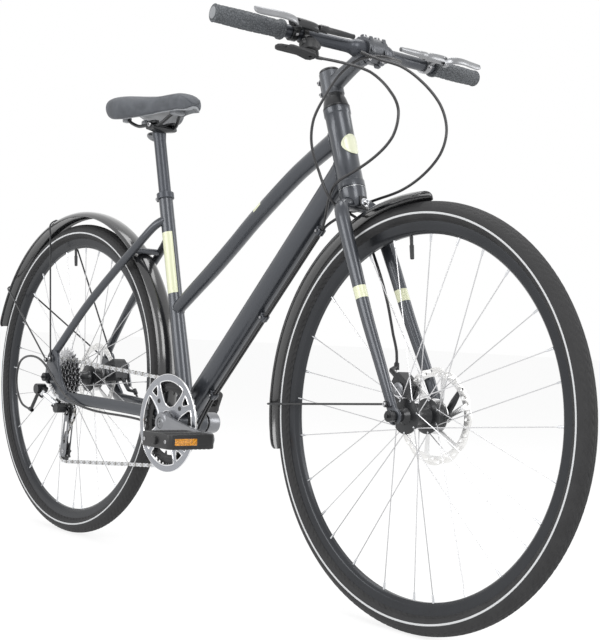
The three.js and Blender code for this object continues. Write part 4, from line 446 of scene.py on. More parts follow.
# A flat part with holes and rounded edges, standing in the XZ plane unless another placing is given.
def plate(outline, low, high, holes=(), edge=0.4, place=standing):
    curve = bpy.data.curves.new("outline", "CURVE")
    curve.dimensions = "2D"
    curve.fill_mode = "BOTH"
    for loop in [outline, *holes]:
        line = curve.splines.new("POLY")
        line.points.add(len(loop) - 1)
        for point, (u, v) in zip(line.points, loop):
            point.co = (u, v, 0, 1)
        line.use_cyclic_u = True
    edge = min(edge, (high - low) / 2.5)
    curve.extrude = (high - low) / 2 - edge
    curve.bevel_depth = edge
    curve.bevel_resolution = 1
    curve.offset = -edge
    holder = bpy.data.objects.new("outline", curve)
    bpy.context.scene.collection.objects.link(holder)
    bpy.context.view_layer.update()
    mesh = bpy.data.meshes.new_from_object(holder.evaluated_get(bpy.context.evaluated_depsgraph_get()))
    middle = (low + high) / 2
    verts = [place(v.co.x, v.co.y, middle + v.co.z) for v in mesh.vertices]
    faces = [list(face.vertices) for face in mesh.polygons]
    bpy.data.objects.remove(holder)
    bpy.data.curves.remove(curve)
    bpy.data.meshes.remove(mesh)
    return verts, faces


# A block with rounded edges; its own axes are given as a matrix.
def block(size, centre, axes=None, edge=0.8):
    half = Vector(size) / 2
    edge = min(edge, min(half) * 0.8)
    outline = []
    for sx, sy, start in ((1, 1, 0), (-1, 1, 90), (-1, -1, 180), (1, -1, 270)):
        for k in range(4):
            x, y = polar(edge, start + 30 * k)
            outline.append((sx * (half.x - edge) + x, sy * (half.y - edge) + y))
    rings = []
    for height, inset in ((-half.z, edge), (-half.z + edge * 0.3, edge * 0.3), (-half.z + edge, 0),
                          (half.z - edge, 0), (half.z - edge * 0.3, edge * 0.3), (half.z, edge)):
        shareX, shareY = (half.x - inset) / half.x, (half.y - inset) / half.y
        rings.append([at(x * shareX, y * shareY, height) for x, y in outline])
    verts, faces = loft(rings)
    turn = axes if axes is not None else Matrix.Identity(3)
    return [turn @ v + centre for v in verts], faces


def moved(solid, matrix):
    return [matrix @ v for v in solid[0]], solid[1]


# The same solid on the other side; cleaned() turns its faces out again.
def mirrored(solid):
    return [at(v.x, -v.y, v.z) for v in solid[0]], solid[1]


def bolt(centre, axis, radius, height, socket=True):
    axis = axis.normalized()
    profile = [(radius, 0), (radius, height * 0.6), (radius * 0.85, height)]
    if socket:
        profile += [(radius * 0.5, height), (radius * 0.45, height * 0.35)]
    return turned(profile, centre, axis, 16)


def cleaned(name, solid):
    mesh = bpy.data.meshes.new(name)
    mesh.from_pydata([tuple(v * toMetres) for v in solid[0]], [], solid[1])
    shape = bmesh.new()
    shape.from_mesh(mesh)
    bmesh.ops.remove_doubles(shape, verts=shape.verts, dist=0.0000005)
    bmesh.ops.recalc_face_normals(shape, faces=shape.faces)
    shape.to_mesh(mesh)
    shape.free()
    mesh.polygons.foreach_set("use_smooth", [True] * len(mesh.polygons))
    piece = bpy.data.objects.new(name, mesh)
    bpy.context.scene.collection.objects.link(piece)
    return piece


# The slot argument is not used.
def addPiece(name, solid, body, look, replaces="", sharp=38, slot=None):
    piece = cleaned(name, solid)
    piece.data.set_sharp_from_angle(angle=radians(sharp))
    piece.data.materials.append(looks[look])
    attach(piece, body)
    if replaces:
        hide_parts(replaces)
    return piece


# Camera and light

shot = {"place": (1.9760, -1.4635, 0.4659), "azimuth": 49.97, "elevation": -0.77, "roll": 2.94, "lens": 71.03}
stage = {"worldLight": 0.62, "worldSeen": 1.0, "floorColour": (0.82, 0.82, 0.82, 1), "glow": 1.12, "glowShare": 0.72,
         "floorReach": 60.0}
lamps = {  # place, target, size, watts
    "key": ((3.4, -1.2, 2.6), (0.1, 0, 0.4), (1.6, 2.2), 62),
    "side": ((-0.6, -3.4, 1.5), (0, 0, 0.4), (2.6, 1.2), 40),
    "left": ((2.2, 3.0, 1.6), (0.2, 0, 0.5), (1.4, 2.0), 34),
    "top": ((-0.3, 0.2, 3.4), (0, 0, 0.4), (3.2, 1.2), 44),
}


def addCamera():
    azimuth, elevation, roll = (radians(shot[key]) for key in ("azimuth", "elevation", "roll"))
    level = math.cos(elevation)
    back = at(math.sin(azimuth) * level, -math.cos(azimuth) * level, math.sin(elevation))
    right = (-back).cross(toTop).normalized()
    up = right.cross(-back)
    tilted = right * math.cos(roll) + up * math.sin(roll)
    upright = up * math.cos(roll) - right * math.sin(roll)
    camera = bpy.data.objects.new("camera", bpy.data.cameras.new("camera"))
    camera.data.lens = shot["lens"]
    camera.data.sensor_width = 36.0
    camera.matrix_world = Matrix.Translation(shot["place"]) @ axesOf(tilted, upright, back).to_4x4()
    bpy.context.scene.collection.objects.link(camera)
    bpy.context.scene.camera = camera


def addLamp(name, place, target, size, watts):
    lamp = bpy.data.objects.new(name, bpy.data.lights.new(name, "AREA"))
    lamp.data.shape = "RECTANGLE"
    lamp.data.size, lamp.data.size_y = size
    lamp.data.energy = watts
    lamp.location = place
    lamp.rotation_mode = "QUATERNION"
    lamp.rotation_quaternion = (Vector(target) - Vector(place)).to_track_quat("-Z", "Y")
    bpy.context.scene.collection.objects.link(lamp)


# How far a ray is one of these kinds.
def rayIs(tree, kinds):
    ray = tree.nodes.new("ShaderNodeLightPath")
    shown = ray.outputs[kinds[0]]
    for kind in kinds[1:]:
        either = tree.nodes.new("ShaderNodeMath")
        either.operation = "MAXIMUM"
        tree.links.new(shown, either.inputs[0])
        tree.links.new(ray.outputs[kind], either.inputs[1])
        shown = either.outputs[0]
    return shown


# The world lights a little less than it shows, and the floor glows where it is looked at.
def addStage():
    kinds = ("Is Camera Ray", "Is Glossy Ray", "Is Transmission Ray")
    world = bpy.data.worlds.new("studio")
    world.use_nodes = True
    bpy.context.scene.world = world
    tree = world.node_tree
    background = tree.nodes["Background"]
    level = tree.nodes.new("ShaderNodeMapRange")
    level.inputs["To Min"].default_value = stage["worldLight"]
    level.inputs["To Max"].default_value = stage["worldSeen"]
    tree.links.new(rayIs(tree, kinds), level.inputs["Value"])
    background.inputs["Color"].default_value = (1, 1, 1, 1)
    tree.links.new(level.outputs[0], background.inputs["Strength"])
    floorLook = bpy.data.materials.new("floor_white")
    floorLook.use_nodes = True
    inside = floorLook.node_tree
    shader = inside.nodes["Principled BSDF"]
    shader.inputs["Base Color"].default_value = stage["floorColour"]
    shader.inputs["Roughness"].default_value = 0.9
    glow = inside.nodes.new("ShaderNodeEmission")
    glow.inputs["Strength"].default_value = stage["glow"]
    share = inside.nodes.new("ShaderNodeMath")
    share.operation = "MULTIPLY"
    share.inputs[1].default_value = stage["glowShare"]
    inside.links.new(rayIs(inside, kinds), share.inputs[0])
    both = inside.nodes.new("ShaderNodeMixShader")
    inside.links.new(share.outputs[0], both.inputs["Fac"])
    inside.links.new(shader.outputs[0], both.inputs[1])
    inside.links.new(glow.outputs[0], both.inputs[2])
    inside.links.new(both.outputs[0], inside.nodes["Material Output"].inputs["Surface"])
    floorMesh = bpy.data.meshes.new("floor")
    corners = [(x * stage["floorReach"], y * stage["floorReach"], 0) for x, y in ((-1, -1), (1, -1), (1, 1), (-1, 1))]
    floorMesh.from_pydata(corners, [], [(0, 1, 2, 3)])
    floorMesh.materials.append(floorLook)
    floor = bpy.data.objects.new("floor", floorMesh)
    bpy.context.scene.collection.objects.link(floor)


addCamera()
addStage()
for name, lamp in lamps.items():
    addLamp(name, *lamp)
bpy.context.scene.view_settings.view_transform = "Standard"
print("camera and light made")

# Shared places, in millimetres

seatTurn, steerTurn = radians(75), radians(70.5)
rearAxle = at(-542, 0, 348)
frontAxle = at(542, 0, 348)
bracketAt = at(-98, 0, 283)
seatAlong = at(-math.cos(seatTurn), 0, math.sin(seatTurn))
seatAhead = at(math.sin(seatTurn), 0, math.cos(seatTurn))
steerUp = at(-math.cos(steerTurn), 0, math.sin(steerTurn))
steerAhead = at(math.sin(steerTurn), 0, math.cos(steerTurn))
forkAxle = (50.0, -414.5)  # ahead of and above the crown race
axleSlot = 5.1  # half the width of the slots that the axles hang in
race = frontAxle - steerAhead * forkAxle[0] - steerUp * forkAxle[1]


def onSeatTube(distance, y=0.0):
    point = bracketAt + seatAlong * distance
    return at(point.x, y, point.z)


def steer(up, ahead=0.0, left=0.0):
    point = race + steerUp * up + steerAhead * ahead
    return at(point.x, left, point.z)


def fromSteering(point):
    return steer(point.z, point.x, point.y)


def onSteering(solid):
    return [fromSteering(v) for v in solid[0]], solid[1]


def addSteered(name, solid, look, *rest, **more):
    addPiece(name, onSteering(solid), "steering_body", look, *rest, **more)


# Wheels

tyre = {"grooves": 150, "steps": 900, "depth": 0.9, "lineDepth": 0.7}
rim = {"outer": 317.0, "half": 9.2, "depth": 22.0, "straight": 16.0, "bridge": 4.0}
spoke = {"perSide": 14, "radius": 0.9, "crossing": 58.0, "pass": 1.2, "head": 1.7, "nipple": 2.3}
hubs = {
    "front": {
        "axle": frontAxle, "body": "front_wheel", "flanges": (-28.0, 20.0), "flange": 29.0, "rotorAt": 39.5,
        "profile": [
            (6.2, -49.4), (9.2, -49.4), (9.2, -40), (12, -36), (14.5, -32), (28, -30), (29, -29.2), (29, -27),
            (28, -26.2), (17, -24), (14.5, -18), (13.2, -4), (14.5, 10), (17, 15.6), (28, 18.2), (29, 19), (29, 21),
            (28, 21.8), (22, 24), (22, 38.4), (13, 38.6), (13, 44), (9.2, 46), (9.2, 49.4), (6.2, 49.4)
        ]
    },
    "rear": {
        "axle": rearAxle, "body": "rear_wheel", "flanges": (-19.0, 30.0), "flange": 31.0, "rotorAt": 52.0,
        "profile": [
            (6.2, -66.6), (8.6, -66.6), (8.6, -64.8), (15.8, -64.8), (15.8, -24.6), (19, -22), (30, -20.8), (31, -20),
            (31, -18), (30, -17.2), (19, -15), (15.5, -8), (14.2, 6), (15.5, 20), (19, 26), (30, 28.2), (31, 29),
            (31, 31), (30, 31.8), (22, 34), (22, 50.9), (13, 51.1), (13, 57), (9.2, 59), (9.2, 66.6), (6.2, 66.6)
        ]
    }
}
valveTurn = 97
rotor = {"radius": 80.0, "half": 0.9, "trackInner": 64.5, "arms": 6, "bolts": 18.5}


def tyreSolid(axle):
    profile = [(0, 348), (4, 347.6), (7.5, 346.4), (11, 344), (14, 340.6), (16.6, 336.8), (18.2, 332.5), (18.5, 328.5),
               (17.6, 324), (14.8, 320), (11.4, 317.4), (9.5, 315.5)]
    half = spline([Vector(point) for point in profile], 4)
    whole = [Vector((-p.x, p.y)) for p in reversed(half[1:])] + half
    whole += [Vector((6.0, 313.5)), Vector((-6.0, 313.5))]
    rings = []
    for i in range(tyre["steps"]):
        turn = 360.0 * i / tyre["steps"]
        ring = []
        for p in whole:
            y, radius = p
            reach = abs(y)
            cell = (turn / 360 * tyre["grooves"] + (0.13 * y if y > 0 else 0.13 * y + 0.5)) % 1.0
            depth = tyre["depth"] if 1.6 < reach < 14.5 and cell < 0.22 else 0.0
            if 1.3 < reach < 2.3 or 8.2 < reach < 9.3:
                depth = max(depth, tyre["lineDepth"])
            x, z = polar(radius - depth, turn, axle.x, axle.z)
            ring.append(at(x, y, z))
        rings.append(ring)
    return loft(rings, True)


def rimSolid(axle):
    outer, half, bridge = rim["outer"], rim["half"], rim["bridge"]
    wall, floor = outer - rim["straight"], outer - rim["depth"]
    profile = [
        (outer, half), (outer - 1.2, half), (wall + 1, half), (wall - 1.2, half - 0.9), (floor + 1, bridge + 0.6),
        (floor, bridge - 0.8)
    ]
    profile += [(radius, -y) for radius, y in reversed(profile)]
    return loft([[around(axle, radius, 2 * i, y) for radius, y in profile] for i in range(180)], True)


# Each spoke as the places of its head, its end and the nipple's seat.
def spokeLines(hub):
    lines = []
    gap, well = 360 / spoke["perSide"], rim["outer"] - rim["depth"]
    for flangeY in hub["flanges"]:
        sign = 1 if flangeY > 0 else -1
        for i in range(spoke["perSide"]):
            start = gap * i + (gap / 2 if flangeY > 0 else 0)
            way = 1 if i % 2 else -1
            lean = way * spoke["crossing"] / 4
            rimTurn = start + way * gap / 2 + lean
            side = way * spoke["pass"]
            hubEnd = around(hub["axle"], hub["flange"] - 2.6, start - lean, flangeY + side)
            rimEnd, seat = (around(hub["axle"], well + up, rimTurn, sign * 2 + side) for up in (-1.6, 1.0))
            lines.append((hubEnd, rimEnd, seat))
    return lines


def rotorSolid(hub):
    outline = []
    for i in range(360):
        wave = 0.5 + 0.5 * math.cos(radians(i * 12))
        outline.append(polar(rotor["radius"] - 2.4 * (1 - wave) ** 2, i))
    holes = [circle(6.4, 24)]
    for i in range(36):
        radius = (68.6, 74.4, 71.6)[i % 3]
        holes.append(circle(2.5 if i % 3 < 2 else 1.9, 16, *polar(radius, i * 10)))
    for i in range(rotor["arms"]):
        start = 360 / rotor["arms"] * i
        inner = [polar(29, start + 9 + k * 5.6) for k in range(9)]
        outer = [polar(rotor["trackInner"], start + 72 - k * 5.6) for k in range(10)]
        holes.append(inner + outer)
    y = hub["rotorAt"]
    solid = plate(outline, y - rotor["half"], y + rotor["half"], holes, 0.25)
    return moved(solid, Matrix.Translation((hub["axle"].x, 0, hub["axle"].z)))


for name, hub in hubs.items():
    axle, body = hub["axle"], hub["body"]
    addPiece(name + "_tyre_tread", tyreSolid(axle), body, name + "Tyre", name + "_tyre", 50, slot="tyre_rubber")
    addPiece(name + "_rim_profile", rimSolid(axle), body, "rim", name + "_rim", 30)
    spokes = spokeLines(hub)
    wires = joined(*[rod(start, end, spoke["radius"], None, 8, 0.1) for start, end, _ in spokes])
    addPiece(name + "_wire_spokes", wires, body, "spoke", slot="silver_metal")
    nipples = joined(*[
        rod(end + (start - end).normalized() * 11, seat, spoke["head"], spoke["nipple"], 10, 0.3)
        for start, end, seat in spokes
    ])
    addPiece(name + "_spoke_nipples", nipples, body, "silver")
    addPiece(name + "_hub_shell", turned(hub["profile"], axle, toLeft, 72, True), body, "black", name + "_hub", 28)
    heads = joined(*[
        rod(start - toLeft * 2.2, start + toLeft * 2.2, spoke["head"], None, 10, 0.4) for start, _, _ in spokes
    ])
    addPiece(name + "_spoke_heads", heads, body, "silver")
    addPiece(name + "_drilled_rotor", rotorSolid(hub), body, name + "Rotor", name + "_rotor", slot="rotor_steel")
    y = hub["rotorAt"] + rotor["half"]
    bolts = joined(*[bolt(around(axle, rotor["bolts"], 60 * i + 12, y - 0.3), toLeft, 3.0, 1.7) for i in range(6)])
    addPiece(name + "_rotor_bolts", bolts, body, "steel")
    base, tip, capBase, capTip = (around(axle, radius, valveTurn) for radius in (294.5, 262, 280, 256))
    valve = joined(rod(base, tip, 3.0, 2.6, 16), rod(capBase, capTip, 3.8, 3.4, 16, 1.0))
    addPiece(name + "_valve_stem", valve, body, "plastic")
    print(name, "wheel made")


# Frame

# The tubes' middles at y = 0, as (x, z); the stays' as (x, y, z)
topPlaces = [(-156, 509), (-100, 548), (-37, 591), (30, 640), (92, 686.5), (188, 751), (242, 782), (321, 822)]
topRadius, downHalf = 15.4, (19.5, 21.5)
topShares = [0.87, 0.93, 0.97, 0.98, 1, 1.02, 1.05, 1.15]
downPlaces = [(-92, 300), (-61.5, 341), (-20, 385.2), (207, 626.9), (286, 711), (338, 766.4)]
downWide = [0.9, 1, 1, 1, 0.95, 0.95]
downDeep = [0.75, 0.95, 1, 1, 1.03, 1.1]
chainPlaces = [(-104, 21, 287), (-130, 29, 292), (-170, 33.5, 296), (-221, 36, 299), (-334, 46, 303), (-440, 61, 306.5),
               (-484, 70, 312)]
seatPlaces = [(-207, 8, 694), (-226, 20, 680), (-262, 31, 646), (-330, 40, 592), (-425, 53, 510), (-505, 63.5, 428),
              (-530, 69, 398)]
bandPlaces = [(-546, 402), (-552, 376), (-545, 350), (-523, 331), (-494, 311), (-468, 298), (-456, 316), (-484, 342),
              (-500, 374), (-506, 404), (-526, 412)]
downTop = at(286, 0, 711)
downAlong = at(-347.5, 0, -370).normalized()
downUnder = at(370, 0, -347.5).normalized()


def onDownTube(distance, below=0.0, y=0.0):
    point = downTop + downAlong * distance + downUnder * below
    return at(point.x, y, point.z)


# What of a solid lies behind a plane, closed again.
def trimmed(solid, planePoint, normal):
    mesh = bmesh.new()
    verts = [mesh.verts.new(v) for v in solid[0]]
    for face in solid[1]:
        mesh.faces.new([verts[i] for i in face])
    parts = mesh.verts[:] + mesh.edges[:] + mesh.faces[:]
    cut = bmesh.ops.bisect_plane(mesh, geom=parts, plane_co=planePoint, plane_no=normal, clear_outer=True)
    edges = [part for part in cut["geom_cut"] if isinstance(part, bmesh.types.BMEdge)]
    bmesh.ops.holes_fill(mesh, edges=edges, sides=0)
    mesh.verts.index_update()
    made = [v.co.copy() for v in mesh.verts], [[v.index for v in face.verts] for face in mesh.faces]
    mesh.free()
    return made


# Corners cut twice, which rounds an outline.
def softened(points, closed=False):
    for _ in range(2):
        mixed = []
        for (ax, az), (bx, bz) in zip(points, points[1:] + points[:1] if closed else points[1:]):
            mixed += [(ax * a + bx * b, az * a + bz * b) for a, b in ((0.75, 0.25), (0.25, 0.75))]
        points = mixed if closed else [points[0]] + mixed + [points[-1]]
    return points


# A weld bead: small swellings, one after another, along a ring of points.
def weld(ring, radius=1.5, scales=5.0):
    loop = []
    for start, end in zip(ring, ring[1:] + ring[:1]):
        steps = max(1, int((end - start).length / (scales / 4)))
        loop += [start.lerp(end, k / steps) for k in range(steps)]
    rings = []
    for i, centre in enumerate(loop):
        forward = (loop[(i + 1) % len(loop)] - loop[i - 1]).normalized()
        side = forward.orthogonal().normalized()
        swell = radius * (0.86 + 0.14 * math.cos(2 * math.pi * i / 4))
        rings.append(ringAt(centre, side, forward.cross(side), swell, 8))
    return loft(rings, True)


def dropoutSolid():
    mouth, ring, slot = -62, 15, axleSlot  # the slot's direction, the eye's radius
    centre = (rearAxle.x, rearAxle.z)
    turn = math.degrees(math.asin(slot / ring))
    band = softened(
        [polar(ring, mouth + turn, *centre)] + bandPlaces[3:] + bandPlaces[:2] + [polar(ring, 150, *centre)]
    )
    outline = band + [polar(ring, angle, *centre) for angle in range(165, int(360 + mouth - turn), 12)]
    outline += [polar(ring, mouth - turn, *centre)]
    outline += [polar(slot, mouth - 90 - step * 15, *centre) for step in range(13)]
    return plate(outline, 67.5, 74.5, (), 1.0)


# The top tube's lower end is hollowed to the seat tube's wall, so that the post can pass it.
def mitred(solid, count, reach):
    rings = [solid[0][i:i + count] for i in range(0, len(solid[0]), count)]
    middle = sum(rings[0], zero) / count
    rings = [[middle.lerp(v, share) for v in rings[0]] for share in (0.02, 0.25, 0.5, 0.75, 0.9)] + rings
    for ring in rings:
        for i, v in enumerate(ring):
            short = math.sqrt(max(reach ** 2 - v.y ** 2, 0.0)) - (v - bracketAt).dot(seatAhead)
            if short > 0:
                ring[i] = v + seatAhead * short
    return loft(rings)


topTube = tube([
    (at(x, 0, z), topRadius * s, topRadius * s) for (x, z), s in zip(topPlaces, topShares)
], count=40, steps=10)
topTube = trimmed(mitred(topTube, 40, 14.6), steer(80), steerAhead)
downTube = tube([
    (at(x, 0, z), downHalf[0] * wide, downHalf[1] * deep) for (x, z), wide, deep in zip(downPlaces, downWide, downDeep)
], count=44, steps=12, power=2.3)
downTube = trimmed(downTube, steer(80), steerAhead)
addPiece("top_tube", topTube, "frame_body", "topTube", "frame", 60, slot="frame_paint")
addPiece("down_tube", downTube, "frame_body", "frame", sharp=60)

seatProfile = [(16.2, 18), (16.2, 120), (15.9, 160), (15.0, 220), (14.6, 260), (14.6, 476), (15.6, 477), (15.6, 481.6),
               (15.2, 482), (13.0, 482), (13.0, 300), (13.0, 18)]
addPiece(
    "seat_tube_round", turned(seatProfile, bracketAt, seatAlong, 48, True), "frame_body", "seatTube",
    slot="frame_paint"
)
headProfile = [(17.4, 3.5), (23.6, 3.5), (24, 4), (24, 14.6), (23.6, 15.5), (22.5, 17.5), (22.2, 60), (22.2, 100),
               (22.5, 141.5), (23.6, 143.5), (24, 144.4), (24, 155), (23.6, 155.5), (17.4, 155.5)]
addPiece("head_tube_round", turned(headProfile, race, steerUp, 56, True), "frame_body", "frame", sharp=30)
addPiece("bracket_shell", turned(sleeve(17.6, 20.5, -34, 34), bracketAt, toLeft, 48, True), "frame_body", "frame")

rightStays = [
    tube([(at(x, -y, z), 7.6, 12.5 if i < 6 else 10) for i, (x, y, z) in enumerate(chainPlaces)], count=28, power=2.2),
    tube([(at(x, -y, z), 7.8, 9.2) for x, y, z in seatPlaces], count=28, power=2.1),
    mirrored(dropoutSolid()),
]
stays = joined(*[joined(solid, mirrored(solid)) for solid in rightStays])
addPiece("stays_and_dropouts", stays, "frame_body", "frame")

bridge = {"fromAxle": 383.8, "radius": 6.5, "spans": ((-8, 31), (47.3, 38))}  # each span: its angle and half its length
bridges = joined(*[
    rod(*[around(rearAxle, bridge["fromAxle"], turn, half * side) for side in sides], bridge["radius"])
    for turn, half in bridge["spans"]
])
addPiece("stay_bridges", bridges, "frame_body", "frame")


# The bead where a tube meets a round one: a ring round the tube, moved along it to the round one's wall.
def seamWeld(end, before, wide, deep, base, out, reach, radius):
    end, before = at(end[0], 0, end[1]), at(before[0], 0, before[1])
    forward = (end - before).normalized()
    forward *= math.copysign(1, forward.x)
    down = forward.cross(toLeft).normalized()
    ring = []
    for j in range(28):
        turn = 2 * math.pi * j / 28
        y = wide * math.cos(turn)
        start = end + down * math.sin(turn) * deep
        wall = math.sqrt(max(reach ** 2 - y ** 2, 1.0))
        hit = start + forward * ((wall - (start - base).dot(out)) / forward.dot(out))
        ring.append(at(hit.x, y, hit.z))
    return weld(ring, radius)


beads = joined(
    seamWeld(*topPlaces[:-3:-1], topRadius * 1.13, topRadius * 1.13, race, -steerAhead, 22.6, 1.9),
    seamWeld(*downPlaces[:-3:-1], downHalf[0] * 0.95, downHalf[1] * 1.1, race, -steerAhead, 22.6, 1.9),
    seamWeld(*topPlaces[:2], topRadius * 0.9, topRadius * 0.9, bracketAt, seatAhead, 15.0, 1.6),
)
addPiece("weld_beads", beads, "frame_body", "frame")

clip = {"places": (47, 262, 475), "below": 33.5, "side": 3.3}  # places along the down tube, from its top
clips = []
for distance in clip["places"]:
    axes = axesOf(downAlong, toLeft, downUnder)
    clips.append(block((12, 11, 6), onDownTube(distance, 24.5), axes, 1.2))
    clips.append(block((12, 17, 4.5), onDownTube(distance, 29.2), axes, 1.6))
    for side in sides:
        middle = onDownTube(distance, clip["below"], side * clip["side"])
        clips.append(turned(sleeve(2.7, 4.9, -6, 6, 0.3, 1), middle, downAlong, 20, True))
addPiece("cable_clips", joined(*clips), "frame_body", "frame")
clipBolts = joined(*[
    bolt(onDownTube(distance, 31.0, 9.6 * side), toLeft * side, 2.4, 1.6)
    for distance in clip["places"] for side in sides
])
addPiece("clip_screws", clipBolts, "frame_body", "steel")
print("frame made")

# Fork, headset, stem and bar

forkLeg = [
    (0, -2, -25, 13, 12), (1, 16, -25.5, 13.2, 12), (3, 33, -32, 13.2, 11.6), (8, 42, -50, 13.3, 10.8),
    (12, 44.5, -93.5, 13, 10.3), (18, 46.7, -150, 12.4, 10), (27, 49.5, -240.5, 11.3, 9.2), (41, 52, -338.6, 10, 8),
    (47, 52.8, -398, 8.5, 6.2)
]
stem = {
    "reach": 106.6, "barUp": 215.8, "clamp": 19.5, "clampLow": 183.0, "clampHigh": 227.0, "grip": 22.5,
    "gripHalf": 22.0, "screwSide": 15.0, "screwUp": 21.8, "pinchAt": -20.5, "pinchUp": (193, 216)
}
bar = {"radius": 11.1, "middle": 15.9, "rise": 23.7, "back": 34.0, "end": 305.97}


def forkEndSolid():
    ring, slot = 14, axleSlot
    turn = math.degrees(math.asin(slot / ring))
    outline = [polar(ring, angle, *forkAxle) for angle in [-90 + turn] + list(range(-60, 51, 12))]
    outline += [(57, -394), (56, -378), (52, -372), (43, -372), (39, -378), (38, -396)]
    outline += [polar(ring, angle, *forkAxle) for angle in list(range(140, 249, 12)) + [270 - turn]]
    outline += [polar(slot, 180 - step * 15, *forkAxle) for step in range(13)]
    return plate(outline, 50, 56.5, (), 1.2)


leg = tube([(at(ahead, left, up), wide, deep) for ahead, left, up, wide, deep in forkLeg], toFront, 32, 8, 2.2)
crownProfile = [(14.3, -34), (17, -33), (20, -28), (22.6, -18), (23.8, -8), (24, 1.2), (23.4, 2), (14.3, 2)]
crown = turned(crownProfile, zero, toTop, 48, True)
eyelets = joined(*[rod(at(44, side * 50, -393), at(44, side * 60, -393), 5.0, None, 20) for side in sides])
forkSolid = joined(leg, mirrored(leg), forkEndSolid(), mirrored(forkEndSolid()), crown, eyelets)
addSteered("fork_blades", forkSolid, "fork", "fork", slot="frame_paint")

coverProfile = [
    (17.2, 155.9), (23.4, 155.9), (24, 156.4), (24, 158.6), (23, 159.4), (22.6, 162), (20.6, 172), (18.7, 177),
    (18.3, 177.2), (18.3, 182.8), (14.4, 182.8)
]
addPiece("headset_cone", turned(coverProfile, race, steerUp, 48, True), "steering_body", "black", "headset_cover", 30)
lowerProfile = [(17.2, 3.2), (22.6, 3.2), (23.3, 2.6), (23.3, 0.6), (17.2, 0.6)]
addPiece("headset_lower_ring", turned(lowerProfile, race, steerUp, 48, True), "steering_body", "silver")


def stemSolid():
    low, high, middle, up = stem["clampLow"], stem["clampHigh"], stem["reach"], stem["barUp"]
    half, grip = stem["gripHalf"], stem["grip"]
    collar = turned(sleeve(14.5, stem["clamp"], low, high, 1, 1), zero, toTop, 48, True)
    barrel = tube([(at(8, 0, 203), 15.2, 15.0), (at(30, 0, 207), 14.0, 14.4), (at(60, 0, 211.5), 12.8, 13.2),
                   (at(84, 0, 215), 14.5, 13.4), (at(94, 0, 215.8), 17.5, 14.2)], count=36, power=2.3)
    shell = turned(
        [(16.1, -half), (grip - 0.9, -half), (grip, 1 - half), (grip, half - 1), (grip - 0.9, half), (16.1, half)],
        at(middle, 0, up), toLeft, 48, True
    )
    rear = trimmed(shell, at(middle - 0.6, 0, up), toFront)
    front = trimmed(shell, at(middle + 0.6, 0, up), -toFront)
    corners = [(side * stem["screwSide"], up + level * stem["screwUp"]) for side in sides for level in (-1, 1)]
    ears = [block((8.4, 11, 9), at(middle - 5, y, z), None, 2) for y, z in corners]
    frontEars = [block((7.2, 11, 9), at(middle + 4.6, y, z), None, 2) for y, z in corners]
    window = [block((3.0, 7.5, 30), at(middle + 21.2, side * stem["screwSide"], up), None, 1.4) for side in sides]
    pinch = [rod(at(stem["pinchAt"], -11, z), at(stem["pinchAt"], 11, z), 4.6, None, 20, 1.0) for z in stem["pinchUp"]]
    spine = block((9, 18, 38), at(-17.5, 0, 205), None, 2.5)
    screws = [bolt(at(middle + 8.0, y, z), toFront, 3.1, 2.6) for y, z in corners]
    screws += [bolt(at(stem["pinchAt"], -10.8, z), -toLeft, 3.2, 2.6) for z in stem["pinchUp"]]
    screws += [bolt(at(0, 0, 230.2), toTop, 4.2, 2.2)]
    return joined(collar, barrel, rear, *ears, *pinch, spine), joined(front, *frontEars, *window), joined(*screws)


stemBody, faceplate, stemBolts = stemSolid()
addSteered("stem_body", stemBody, "stem", "stem", slot="grey_metal")
addSteered("stem_front_plate", faceplate, "stem", "stem_faceplate", slot="grey_metal")
capSolid = turned(
    [(0.4, 227.2), (17, 227.2), (18.2, 228), (18.4, 230.6), (17.2, 232.2), (6.5, 232.8), (5.6, 231), (0.4, 231)],
    race, steerUp, 48
)
addPiece("stem_top_cap", capSolid, "steering_body", "black", sharp=30)
addSteered("stem_bolts", stemBolts, "steel")


# The bar bends back and up together; share runs from 0 in the middle to 1 at its ends.
def barPoint(y, share):
    return at(stem["reach"] - bar["back"] * share, y, stem["barUp"] + bar["rise"] * share)


def barSolid():
    thin, thick = bar["radius"], bar["middle"]
    half = [(0, 0, thick), (32, 0, thick), (46, 0.09, 11.6), (62, 0.2, thin), (82, 0.345, thin), (100, 0.44, thin)]
    half += [(100 + k * 20.4, 0.44 + 0.056 * k, thin) for k in range(1, 11)]
    half = [(-y, share, r) for y, share, r in reversed(half[1:])] + half
    return tube([(barPoint(y, share), r, r) for y, share, r in half], toFront, 32, 6)


addSteered("bar_tube", barSolid(), "post", "handlebar", slot="black_metal")


# Each half of the bar has axes of its own: outwards along it, ahead and up.
def handFrame(side):
    start = barPoint(side * 100, 0.44)
    out = (barPoint(side * 304, 1.0) - start).normalized()
    ahead = (toFront - out * out.x).normalized()
    up = ahead.cross(out) if side > 0 else out.cross(ahead)
    return start - out * (100 / abs(out.y)), out, ahead, up


def atHand(side, along, ahead=0.0, up=0.0):
    origin, out, aheadAxis, upAxis = handFrame(side)
    return origin + out * along + aheadAxis * ahead + upAxis * up


grip = {"length": 132.0, "bore": 11.15, "count": 120, "steps": 264, "flange": 16.9, "domeAt": 128.5}


